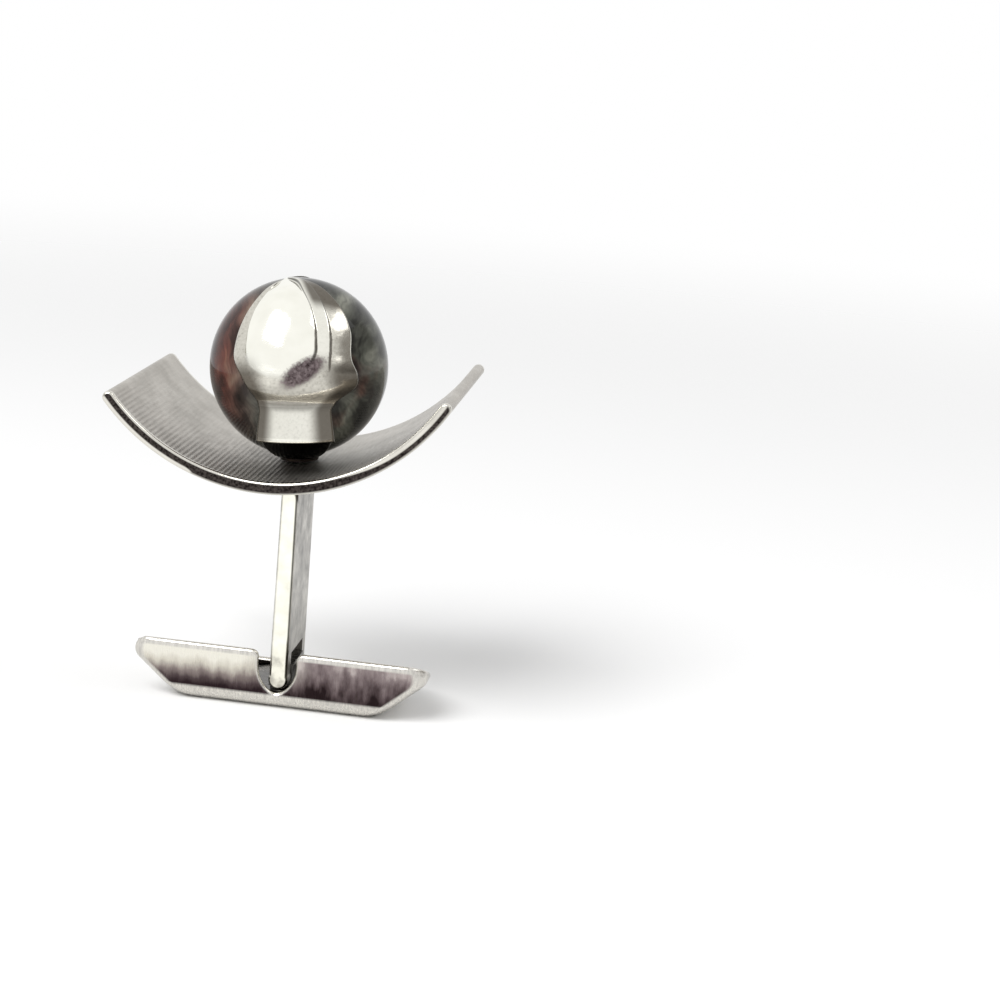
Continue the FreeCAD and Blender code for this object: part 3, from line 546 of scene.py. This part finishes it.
# Painted shade: near black at the creases, the steps' feet and under the foot; dark on the sides, below the
# crease and in the grooves by the point.
painted_black_shade = add_node(tree, "Attribute", {"attribute_name": "painted_black_shade"})
painted_shade = add_node(tree, "Attribute", {"attribute_name": "painted_shade"})
painted_shaded = add_node(tree, "Mix", {**COLOURS, 7: linear("#4a4238")}, {0: painted_shade.outputs["Fac"], 6: patch_painted})
black_shaded = add_node(tree, "Mix", {**COLOURS, 7: linear("#17120f")}, {0: painted_black_shade.outputs["Fac"], 6: painted_shaded})
worn = add_node(tree, "MapRange", {1: 0.3, 2: 0.65, 3: 0.22, 4: 0.12}, {0: speck})
shine = add_node(tree, "Mix", {2: 0.09}, {0: dull.outputs["Fac"], 3: worn})
rise = add_node(tree, "Math", {"operation": "MULTIPLY_ADD", 1: 0.12}, {0: wipe, 2: wave})
bump = add_node(tree, "Bump", {"Strength": 0.35, "Distance": 0.00006}, {"Height": rise})
wire(tree, shader, {"Base Color": black_shaded, "Roughness": shine, "Normal": bump})
CLAWS = [("bud_claw_front", "front_claw", 1, FRONT_TIP), ("bud_claw_rear", "rear_claw", -1, REAR_TIP)]
for name, node, side, tip in CLAWS:
    points, shares = claw_rings(side, tip)
    claw = skin(name, on_head(points), shares)
    claw.data.materials.append(material)
    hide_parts(node)
    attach(claw, "face")

# Claw seat and post: the cup under the ball that joins both straps, and the bevelled bar soldered to it
# through the plate, forked at the foot round the pivot. Both are the plain machined solids, silver-plated:
# the post is buffed, and the seat under the ball is painted near black as shade.
POST_HALF_DEPTH = 2.95
POST_BEVEL = 0.16
# Silver plate, buffed on the narrow front and back faces and left satin grey on the broad sides, the grey
# partly a painted stand-in for darker reflections, with worn blotches 1 to 2 mm wide. Painted shade darkens
# the sides towards the plate, the faces towards the pivot, the right bevels, and a wedge at the top right of
# the front face under the plate.
post_material, tree, shader, place = new_material("half_polished_silver_plate")
apart = add_node(tree, "SeparateXYZ", {}, {0: place})
facing = add_node(tree, "Math", {"operation": "ABSOLUTE"}, {0: apart.outputs["Y"]})
buffed = add_node(tree, "MapRange", {1: POST_HALF_DEPTH - POST_BEVEL, 2: POST_HALF_DEPTH}, {0: facing})
worn = add_node(tree, "TexNoise", {"Scale": 0.7, "Detail": 5.0, "Roughness": 0.6}, {0: place})
# Painted shade: the sides darken towards the plate above.
higher = add_node(tree, "MapRange", {1: 7.0, 2: 15.5, 3: 0.08, 4: -0.1}, {0: apart.outputs["Z"]})
shaded = add_node(tree, "Math", {"operation": "ADD"}, {0: worn, 1: higher})
side_colour = add_node(tree, "ValToRGB", {}, {0: shaded},
                       [(0.32, "#6a6762"), (0.5, "#9c9993"), (0.68, "#bfbcb5")])
# Painted shade: the faces darken towards the pivot below.
lower = add_node(tree, "MapRange", {1: 1.6, 2: 4.2, 3: -0.3, 4: 0.0}, {0: apart.outputs["Z"]})
dimmed = add_node(tree, "Math", {"operation": "ADD"}, {0: worn, 1: lower})
face_colour = add_node(tree, "ValToRGB", {}, {0: dimmed},
                       [(0.12, "#8b877f"), (0.36, "#efeddf"), (0.6, "#fbfaef")])
metal = add_node(tree, "Mix", COLOURS, {0: buffed, 6: side_colour, 7: face_colour})
# Painted shade on the right bevels.
bevel = add_node(tree, "Math", {"operation": "PINGPONG", 1: 0.5}, {0: buffed})
rightward = add_node(tree, "MapRange", {1: 0.1, 2: 0.4, 3: 0.0, 4: 2.2}, {0: apart.outputs["X"]})
line = add_node(tree, "Math", {"operation": "MULTIPLY", "use_clamp": True}, {0: bevel, 1: rightward})
edged = add_node(tree, "Mix", {**COLOURS, 7: linear("#45423c")}, {0: line, 6: metal})
# Painted shade: a dark wedge at the top right of the front face, under the plate.
up_right = add_node(tree, "Math", {"operation": "MULTIPLY_ADD", 1: 2.6},
                    {0: apart.outputs["X"], 2: apart.outputs["Z"]})
corner = add_node(tree, "MapRange", {1: 15.75, 2: 16.1}, {0: up_right})
at_front = add_node(tree, "MapRange", {1: -2.4, 2: -2.7}, {0: apart.outputs["Y"]})
wedge = add_node(tree, "Math", {"operation": "MULTIPLY"}, {0: corner, 1: at_front})
wedged = add_node(tree, "Mix", {**COLOURS, 7: linear("#3a3631")}, {0: wedge, 6: edged})
shine = add_node(tree, "MapRange", {3: 0.32, 4: 0.1}, {0: buffed})
wire(tree, shader, {"Base Color": wedged, "Roughness": shine})
# Silver plate painted nearly black as the shade under the ball: dull, with blotches 0.5 mm wide.
seat_material, tree, shader, place = new_material("silver_plate_painted_black_shade")
blotch = add_node(tree, "TexNoise", {"Scale": 2.0, "Detail": 3.0}, {0: place})
black = add_node(tree, "ValToRGB", {}, {0: blotch}, [(0.3, "#14100e"), (0.7, "#3a332e")])
shine = add_node(tree, "MapRange", {1: 0.3, 2: 0.7, 3: 0.35, 4: 0.55}, {0: blotch})
wire(tree, shader, {"Base Color": black, "Roughness": shine})
for name, finish in (("claw_seat", seat_material), ("post", post_material)):
    solid = frame["nodes"][name]
    solid.data.materials.clear()
    solid.data.materials.append(finish)

# Toggle: a boat-shaped trough pressed from sheet and silver-plated, with a tall front wall, a lower rear
# wall, a rounded notch in each wall at the pivot, and its left end cut down for the post to lie in when it
# is swung up.
TOGGLE_HEIGHT = 4.1
TOGGLE_RIM_HALF = 11.8
TOGGLE_FLOOR_HALF = 7.0
TOGGLE_HALF_DEPTH = 3.55
TOGGLE_WALL = 0.5
FLOOR_CORNER = 1.8
TIP_ROUND = 0.9
EDGE_ROUND_OUT = 1.2
RIM_SLOPE = math.tan(math.radians(20.0))
RIM_BAND_FOOT, RIM_BAND_TOP = 0.5, 0.38
NOTCH_HALF = 1.275
NOTCH_SILL = 1.165
NOTCH_SHOULDER = 0.3
NOTCH_REACH = 1.4
NOTCH_SPREAD = 3.4
NOTCH_SAMPLES = 110
WALL_SAMPLES = 22
CORNER_SAMPLES = 12
SHOULDER_SAMPLES, BOTTOM_SAMPLES = 8, 40
HEIGHT_SAMPLES, HEIGHT_CROWDING, LIP_SAMPLES = 34, 1.5, 11
FLOOR_SHARES = (0.0, 0.5, 0.9)
SLOT_CORNER = math.radians(50.0)
SLOT_SILL = 1.185
LIP = 0.25
INNER_ROUND = 0.2
LEFT_INNER_CORNER, RIGHT_INNER_CORNER = 0.2, 0.7
CUT_LIP = 0.04
SLANT = (TOGGLE_RIM_HALF - TOGGLE_FLOOR_HALF) / TOGGLE_HEIGHT
FLOOR_LIFT = 0.01


def hull_length(z):
    """Half length of the hull at a height: a quarter round from the floor, a straight slant and a round
    tip."""
    lean = math.atan2(1, SLANT)
    floor_reach = FLOOR_CORNER * math.tan(lean / 2)
    floor_end = TOGGLE_FLOOR_HALF - floor_reach
    floor_top = FLOOR_CORNER * (1 - math.cos(lean))
    tip_reach = TIP_ROUND / math.tan(lean / 2)
    tip_end = TOGGLE_RIM_HALF - tip_reach
    tip_low = TOGGLE_HEIGHT - tip_reach * math.sin(lean)
    low = floor_end + np.sqrt(np.clip(FLOOR_CORNER ** 2 - (FLOOR_CORNER - z) ** 2, 0, None))
    high = tip_end + np.sqrt(np.clip(TIP_ROUND ** 2 - (z - TOGGLE_HEIGHT + TIP_ROUND) ** 2, 0, None))
    straight = TOGGLE_FLOOR_HALF + SLANT * z
    return np.where(z < floor_top, low, np.where(z > tip_low, high, straight))


def hull_depth(z):
    """Half depth of the hull at a height: a quarter ellipse from the floor, then upright."""
    low = np.clip(1 - z / EDGE_ROUND_OUT, 0, 1)
    return TOGGLE_HALF_DEPTH - EDGE_ROUND_OUT * (1 - np.sqrt(1 - low ** 2))


def notch_path(top):
    """Rim line through a notch from left to right, as x and height, at even steps of its length: level,
    over a rounded shoulder where the wall is tall, round the half circle at the bottom and back the same
    way."""
    half = NOTCH_HALF + LIP
    centre = NOTCH_SILL + NOTCH_HALF
    lift = top - centre
    turn = np.linspace(0, math.pi / 2, SHOULDER_SAMPLES)
    if lift > NOTCH_SHOULDER:
        side_x = np.append(-half - NOTCH_REACH, -half - NOTCH_SHOULDER * (1 - np.sin(turn)))
        side_z = np.append(top, top - NOTCH_SHOULDER * (1 - np.cos(turn)))
        low = 0.0
    else:
        low = math.asin(-lift / half)
        side_x = np.array([-half - NOTCH_REACH])
        side_z = np.array([top])
    bottom = np.linspace(math.pi + low, 2 * math.pi - low, BOTTOM_SAMPLES)
    x = np.concatenate([side_x, half * np.cos(bottom), -side_x[::-1]])
    z = np.concatenate([side_z, centre + half * np.sin(bottom), side_z[::-1]])
    length = np.append(0, np.cumsum(np.hypot(np.diff(x), np.diff(z))))
    even = np.linspace(0, length[-1], NOTCH_SAMPLES)
    return np.interp(even, length, x), np.interp(even, length, z)


def rim_height(y):
    """Height of the lip's root where the sloping rim crosses a depth."""
    return TOGGLE_HEIGHT - RIM_SLOPE * (y + TOGGLE_HALF_DEPTH) - LIP


def toggle_outline():
    """Plan of the trough once round from its front left corner, as rows: four shares at the floor (of the
    straight half length, the corner's length, the straight half depth and the corner's depth), the same at
    the rim, and the rim's height. Straight walls have no corner share, and the lines of a wall spread from
    floor to rim."""
    straight = TOGGLE_HALF_DEPTH - EDGE_ROUND_OUT
    floor_half = hull_length(np.array(0.0)) - EDGE_ROUND_OUT
    level = np.linspace(0, 1, WALL_SAMPLES)[:-1]
    runs = []

    def wall(side, top):
        notch_x, notch_z = notch_path(top)
        reach = hull_length(np.array(top)) - EDGE_ROUND_OUT
        rim = np.concatenate([between(-reach, notch_x[0], level), notch_x,
                              between(reach, notch_x[-1], level)[::-1]])
        height = np.concatenate([top + 0 * level, notch_z, top + 0 * level])
        spread = np.linspace(-NOTCH_SPREAD, NOTCH_SPREAD, NOTCH_SAMPLES)
        floor = np.concatenate([between(-floor_half, -NOTCH_SPREAD, level), spread,
                                between(floor_half, NOTCH_SPREAD, level)[::-1]])
        flat = 0 * floor
        upright = [flat, flat + side, flat + side]
        rows = [floor / floor_half, *upright, rim / reach, *upright, height]
        runs.append(np.array(rows)[:, ::-side])

    def turn(end, side, angles, kept, height):
        flat = 0 * angles
        shares = [flat + end, end * np.sin(angles), flat + side, side * np.cos(angles)]
        rim = [flat + end, end * np.sin(kept), flat + side, side * np.cos(kept)]
        runs.append(np.array(shares + rim + [height + flat]))

    def end_wall(end, across, height):
        flat = 0 * across
        shares = [flat + end, flat + end, across, flat]
        runs.append(np.array(shares + shares + [height + flat]))

    corner = np.linspace(0, math.pi / 2, CORNER_SAMPLES)[1:-1]
    whole = corner[corner < SLOT_CORNER]
    cut = np.linspace(SLOT_CORNER, math.pi / 2, CORNER_SAMPLES)
    fall = np.linspace(0, 1, CORNER_SAMPLES)
    across = np.linspace(-1, 1, WALL_SAMPLES)
    sill = SLOT_SILL - LIP

    def corner_height(side, angles):
        return rim_height(side * (straight + EDGE_ROUND_OUT * np.cos(angles)))

    wall(-1, rim_height(-TOGGLE_HALF_DEPTH))
    turn(1, -1, corner, corner, corner_height(-1, corner))
    end_wall(1, across, rim_height(across * straight))
    turn(1, 1, corner[::-1], corner[::-1], corner_height(1, corner[::-1]))
    wall(1, rim_height(TOGGLE_HALF_DEPTH))
    for side in (1, -1):
        brink = corner_height(side, SLOT_CORNER)
        parts = [(whole, whole, corner_height(side, whole)),
                 (cut, SLOT_CORNER + 0 * cut, between(brink, sill, fall))]
        for part in parts[::side]:
            turn(-1, side, *(row[::side] for row in part))
        if side == 1:
            end_wall(-1, -across, sill)
    return np.concatenate(runs, 1)


def toggle_rings():
    """Rings round the trough, from a line along the middle of its underside, out along the floor, up the
    outer wall, over the half-round lip, down the inner wall and along the inner floor to a line in its
    middle. Where the left end is cut down the lip is nearly flat, clear of the post."""
    rows = toggle_outline()
    low, high, height = rows[:4], rows[4:8], rows[8]
    slant_wall = TOGGLE_WALL * math.hypot(1, SLANT)
    inner_corner = np.where(rows[0] < 0, LEFT_INNER_CORNER, RIGHT_INNER_CORNER)

    def plan(shares, length, depth, corner):
        return np.stack([shares[0] * (length - corner) + shares[1] * corner,
                         shares[2] * (depth - corner) + shares[3] * corner], -1)

    def outer(share):
        z = between(FLOOR_LIFT, height, share)
        xy = plan(between(low, high, share), hull_length(z), hull_depth(z), EDGE_ROUND_OUT)
        return np.concatenate([xy, z[:, None]], -1)

    def inner(share):
        z = between(TOGGLE_WALL, height, share)
        inset = INNER_ROUND * (1 - np.sqrt(1 - np.clip(1 - (z - TOGGLE_WALL) / INNER_ROUND, 0, 1) ** 2))
        slanted = TOGGLE_FLOOR_HALF + SLANT * z - slant_wall
        length = np.minimum(slanted, hull_length(z) - TOGGLE_WALL) - inset
        xy = plan(between(low, high, share), length, TOGGLE_HALF_DEPTH - TOGGLE_WALL - inset, inner_corner)
        rim_x = outer(1.0)[:, 0]
        straight = rows[5] == 0
        kept = np.clip(rim_x, inner_corner - length, length - inner_corner)
        xy[:, 0] = np.where(straight, between(xy[:, 0], kept, share), xy[:, 0])
        return np.concatenate([xy, z[:, None]], -1)

    up = np.linspace(0, 1, HEIGHT_SAMPLES) ** HEIGHT_CROWDING
    walls = [outer(share) for share in up]
    lip_out, lip_in = walls[-1], inner(1.0)
    middle, across = (lip_out + lip_in) / 2, (lip_out - lip_in) / 2
    thick = np.linalg.norm(across, axis=1, keepdims=True)
    along = np.roll(middle, -1, 0) - np.roll(middle, 1, 0)
    away = np.cross(across / thick, along)
    away /= np.linalg.norm(away, axis=1, keepdims=True)
    at_cut = np.isclose(rows[5], -math.sin(SLOT_CORNER))[:, None]
    lip = np.where(at_cut, CUT_LIP, np.minimum(LIP, thick))
    turns = np.linspace(0, math.pi, LIP_SAMPLES)[1:-1]
    lips = [middle + across * math.cos(turn) + away * lip * math.sin(turn) for turn in turns]
    insides = [inner(share) for share in up[::-1]]
    floors = [walls[0] * np.array([1, share, 1]) for share in FLOOR_SHARES]
    tops = [insides[-1] * np.array([1, share, 1]) for share in FLOOR_SHARES[::-1]]
    rings = np.array(floors + walls + lips + insides + tops) * MM
    inside = np.repeat([0.0, 1.0], [len(floors) + len(walls) + len(lips), len(insides) + len(tops)])
    return rings, inside[:, None] * np.ones(rings.shape[1])[None, :]


# Silver plate over brass, brushed upright on the walls and buffed on the rounded edges: fine upright lines
# about 0.1 mm apart. The front and rear walls carry purple-brown tarnish in ragged streaks, partly a painted
# dark reflection that darkens towards the bottom and over the right half; a strip under the rim is kept
# light as a painted highlight along the lip, and the inside is painted dark as shade.
material, tree, shader, place = new_material("brushed_silver_plate_tarnish_and_painted_reflection")
apart = add_node(tree, "SeparateXYZ", {}, {0: place})
brush_place = add_node(tree, "Mapping", {"Scale": (8, 8, 0.45)}, {0: place})
brush = add_node(tree, "TexNoise", {"Scale": 1.0, "Detail": 4.0, "Roughness": 0.6}, {0: brush_place})
streak_place = add_node(tree, "Mapping", {"Scale": (1.1, 1.1, 0.45)}, {0: place})
streak = add_node(tree, "TexNoise", {"Scale": 1.0, "Detail": 6.0, "Roughness": 0.55}, {0: streak_place})
# Painted dark reflection in the tarnish: darker towards the bottom of the walls.
rising = add_node(tree, "Math", {"operation": "MULTIPLY", 1: 1.4}, {0: apart.outputs["Z"]})
ragged = add_node(tree, "Math", {"operation": "MULTIPLY_ADD", 1: 2.0}, {0: streak, 2: rising})
depth = add_node(tree, "MapRange", {1: 2.57, 2: 5.87}, {0: ragged})
left_wall = add_node(tree, "ValToRGB", {}, {0: depth},
                     [(0.03, "#2b2023"), (0.22, "#4f4445"), (0.42, "#857a77"), (0.66, "#cdc8bc"),
                      (0.9, "#e6e3d8")])
climbing = add_node(tree, "Math", {"operation": "MULTIPLY_ADD", 1: 0.7, 2: -0.62}, {0: depth})
mottle = add_node(tree, "Math", {"operation": "MULTIPLY_ADD", 1: 1.3}, {0: streak, 2: climbing})
right_wall = add_node(tree, "ValToRGB", {}, {0: mottle},
                      [(0.0, "#261d1e"), (0.2, "#4a3f40"), (0.45, "#6a5e5f"), (0.7, "#897d7d"),
                       (0.95, "#b5aba8")])
# The right half is darker, as a painted dark reflection.
rightward = add_node(tree, "MapRange", {1: -2.5, 2: 2.5}, {0: apart.outputs["X"]})
wall_colour = add_node(tree, "Mix", COLOURS, {0: rightward, 6: left_wall, 7: right_wall})
clean = add_node(tree, "ValToRGB", {}, {0: brush}, [(0.3, "#bbb8b3"), (0.6, "#d6d3cc")])
facing = add_node(tree, "Math", {"operation": "ABSOLUTE"}, {0: apart.outputs["Y"]})
flat_part = add_node(tree, "MapRange", {1: 3.48, 2: 3.54}, {0: facing})
above_band = add_node(tree, "MapRange", {1: 0.95, 2: 1.15}, {0: apart.outputs["Z"]})
on_wall = add_node(tree, "Math", {"operation": "MULTIPLY"}, {0: flat_part, 1: above_band})
from_front = add_node(tree, "Math", {"operation": "ADD", 1: TOGGLE_HALF_DEPTH}, {0: apart.outputs["Y"]})
sloping = add_node(tree, "Math", {"operation": "MULTIPLY", 1: RIM_SLOPE}, {0: from_front})
below_rim = add_node(tree, "Math", {"operation": "ADD"}, {0: sloping, 1: apart.outputs["Z"]})
# A strip under the rim is kept free of tarnish, as a painted highlight along the lip.
rim_band = add_node(tree, "MapRange",
                    {1: TOGGLE_HEIGHT - RIM_BAND_FOOT, 2: TOGGLE_HEIGHT - RIM_BAND_TOP, 3: 1.0, 4: 0.0},
                    {0: below_rim})
wall_tarnish_and_reflection = add_node(tree, "Math", {"operation": "MULTIPLY"}, {0: on_wall, 1: rim_band})
coat = add_node(tree, "Mix", COLOURS, {0: wall_tarnish_and_reflection, 6: clean, 7: wall_colour})
# Painted shade: the whole inside of the trough is dark.
inside = add_node(tree, "Attribute", {"attribute_name": "inside"})
inside_shaded = add_node(tree, "Mix", {**COLOURS, 7: linear("#3b3532")}, {0: inside.outputs["Fac"], 6: coat})
shine = add_node(tree, "MapRange", {1: 0.3, 2: 0.7, 3: 0.16, 4: 0.34}, {0: brush})
bump = add_node(tree, "Bump", {"Strength": 0.3, "Distance": 0.00003}, {"Height": brush})
wire(tree, shader, {"Base Color": inside_shaded, "Roughness": shine, "Normal": bump})
points, inside = toggle_rings()
toggle = skin("toggle_trough", points, {"inside": inside})
toggle.data.materials.append(material)
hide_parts("toggle_shell")
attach(toggle, "toggle")

# Pivot and spring inside the trough: a hard steel pin pressed in a block on the floor, and a bowed strip of
# spring steel under the fork, held by two rivets. These are the plain turned and blanked solids, dark from
# tempering.
# Tempered spring steel: dark grey, with fine lines from drawing about 0.1 mm apart.
material, tree, shader, place = new_material("drawn_spring_steel")
line_place = add_node(tree, "Mapping", {"Scale": (0.8, 9, 9)}, {0: place})
lines = add_node(tree, "TexNoise", {"Scale": 1.0, "Detail": 3.0}, {0: line_place})
steel = add_node(tree, "ValToRGB", {}, {0: lines}, [(0.3, "#454341"), (0.7, "#6c6a67")])
shine = add_node(tree, "MapRange", {1: 0.3, 2: 0.7, 3: 0.2, 4: 0.4}, {0: lines})
wire(tree, shader, {"Base Color": steel, "Roughness": shine})
for name in ("pivot_pin", "pivot_block", "leaf_spring", "spring_rivet_front", "spring_rivet_rear"):
    solid = frame["nodes"][name]
    solid.data.materials.clear()
    solid.data.materials.append(material)

# Stage: a wide pale floor, which fades into the white surround and in a pose keeps under the toggle's right
# tip, and the card of a studio far on the right, seen only in the polished metal as a soft-edged oval.
FLOOR_HALF = 0.5
FADE_NEAR, FADE_FAR = 0.07, 0.3
CARD_CORNERS = [(0.3, -0.2, 0), (0.3, 0.4, 0), (0.3, 0.4, 0.4), (0.3, -0.2, 0.4)]
CARD_SOFT = 0.4


def stage_sheet(name, corners):
    """A flat sheet through four corners in metres: the sheet, its node tree and its shader."""
    material = bpy.data.materials.new(name)
    material.use_nodes = True
    mesh = bpy.data.meshes.new(name)
    mesh.from_pydata(corners, [], [(0, 1, 2, 3)])
    mesh.uv_layers.new().data.foreach_set("uv", [0, 0, 1, 0, 1, 1, 0, 1])
    mesh.materials.append(material)
    sheet = bpy.data.objects.new(name, mesh)
    scene.collection.objects.link(sheet)
    return sheet, material.node_tree, material.node_tree.nodes["Principled BSDF"]


def fade_out(tree, surface, share):
    """Shows a surface where a share is 0 and nothing where it is 1."""
    clear = add_node(tree, "BsdfTransparent")
    faded = add_node(tree, "MixShader", {}, {0: share, 1: surface, 2: clear})
    wire(tree, tree.nodes["Material Output"], {"Surface": faded})


floor_corners = [(x * FLOOR_HALF, y * FLOOR_HALF, 0) for x, y in ((-1, -1), (1, -1), (1, 1), (-1, 1))]
floor, tree, shader = stage_sheet("floor", floor_corners)
shader.inputs["Base Color"].default_value = linear("#f7f7f7")
shader.inputs["Roughness"].default_value = 1.0
shader.inputs["Specular IOR Level"].default_value = 0.0
spot = add_node(tree, "TexCoord")
away = add_node(tree, "VectorMath", {"operation": "LENGTH"}, {0: spot.outputs["Object"]})
far = add_node(tree, "MapRange", {"interpolation_type": "SMOOTHSTEP", 1: FADE_NEAR, 2: FADE_FAR},
               {0: away})
fade_out(tree, shader, far)
guide = bpy.data.objects.new("floor_guide", None)
guide.parent = frame["bodies"]["toggle"]
guide.location.x = max(corner[0] for corner in toggle.bound_box)
scene.collection.objects.link(guide)
keep_under = floor.constraints.new("COPY_LOCATION")
keep_under.target = guide
keep_under.use_x = False
keep_under.use_y = False
card, tree, shader = stage_sheet("far_card", CARD_CORNERS)
tree.nodes.remove(shader)
spot = add_node(tree, "TexCoord")
centred = add_node(tree, "Mapping", {"Location": (-1, -1, 0), "Scale": (2, 2, 1)}, {0: spot.outputs["UV"]})
away = add_node(tree, "VectorMath", {"operation": "LENGTH"}, {0: centred})
far = add_node(tree, "MapRange", {1: 1 - CARD_SOFT, 2: 1.0}, {0: away})
glow = add_node(tree, "Emission", {"Color": linear("#8f8b87")})
fade_out(tree, glow, far)
for ray in ("camera", "diffuse", "shadow", "transmission"):
    setattr(card, "visible_" + ray, False)

# Light: a soft even surround, a large soft lamp high on the front left and a weaker one on the right.
AMBIENT = 0.5
LAMP_AIM = Vector((0, 0, 0.015))
LAMPS = [("key", (-0.16, -0.24, 0.34), 0.26, 1.6), ("fill", (0.3, 0.05, 0.3), 0.25, 0.35)]
world = bpy.data.worlds.new("soft_surround")
scene.world = world
world.use_nodes = True
tree = world.node_tree
ray = add_node(tree, "LightPath")
shown = ray.outputs["Is Camera Ray"]
for kind in ("Is Glossy Ray", "Is Transmission Ray"):
    shown = add_node(tree, "Math", {"operation": "MAXIMUM"}, {0: shown, 1: ray.outputs[kind]})
strength = add_node(tree, "MapRange", {3: AMBIENT, 4: 1.0}, {0: shown})
background = tree.nodes["Background"]
background.inputs["Color"].default_value = (1, 1, 1, 1)
wire(tree, background, {"Strength": strength})
for name, spot, width, power in LAMPS:
    lamp = bpy.data.lights.new(name, "AREA")
    lamp.size = width
    lamp.energy = power
    holder = bpy.data.objects.new(name, lamp)
    holder.location = spot
    holder.rotation_euler = (LAMP_AIM - Vector(spot)).to_track_quat("-Z", "Y").to_euler()
    scene.collection.objects.link(holder)

# Camera: a short telephoto, a little above and right of the front and slightly rolled, as in the photo.
FRAME_PIXELS = 1000
FOCAL_PIXELS = 2343.9
SENSOR = 36.0
NEAREST = 0.005
YAW, PITCH, ROLL = (math.radians(a) for a in (6.138, 13.229, 4.94))
CAMERA_DISTANCE = 158.19
AIM = Vector((13.828, 0.0, 15.535))
backward = Vector((math.sin(YAW) * math.cos(PITCH), -math.cos(YAW) * math.cos(PITCH), math.sin(PITCH)))
level = (-backward).cross(Vector((0, 0, 1))).normalized()
upright = level.cross(-backward)
right = level * math.cos(ROLL) + upright * math.sin(ROLL)
above = upright * math.cos(ROLL) - level * math.sin(ROLL)
lens = bpy.data.cameras.new("camera")
lens.sensor_fit = "HORIZONTAL"
lens.sensor_width = SENSOR
lens.lens = FOCAL_PIXELS / FRAME_PIXELS * SENSOR
lens.clip_start = NEAREST
camera = bpy.data.objects.new("camera", lens)
turned = Matrix((right, above, backward)).transposed().to_4x4()
turned.translation = (AIM + backward * CAMERA_DISTANCE) * MM
camera.matrix_world = turned
scene.collection.objects.link(camera)
scene.camera = camera
scene.view_settings.view_transform = "Standard"
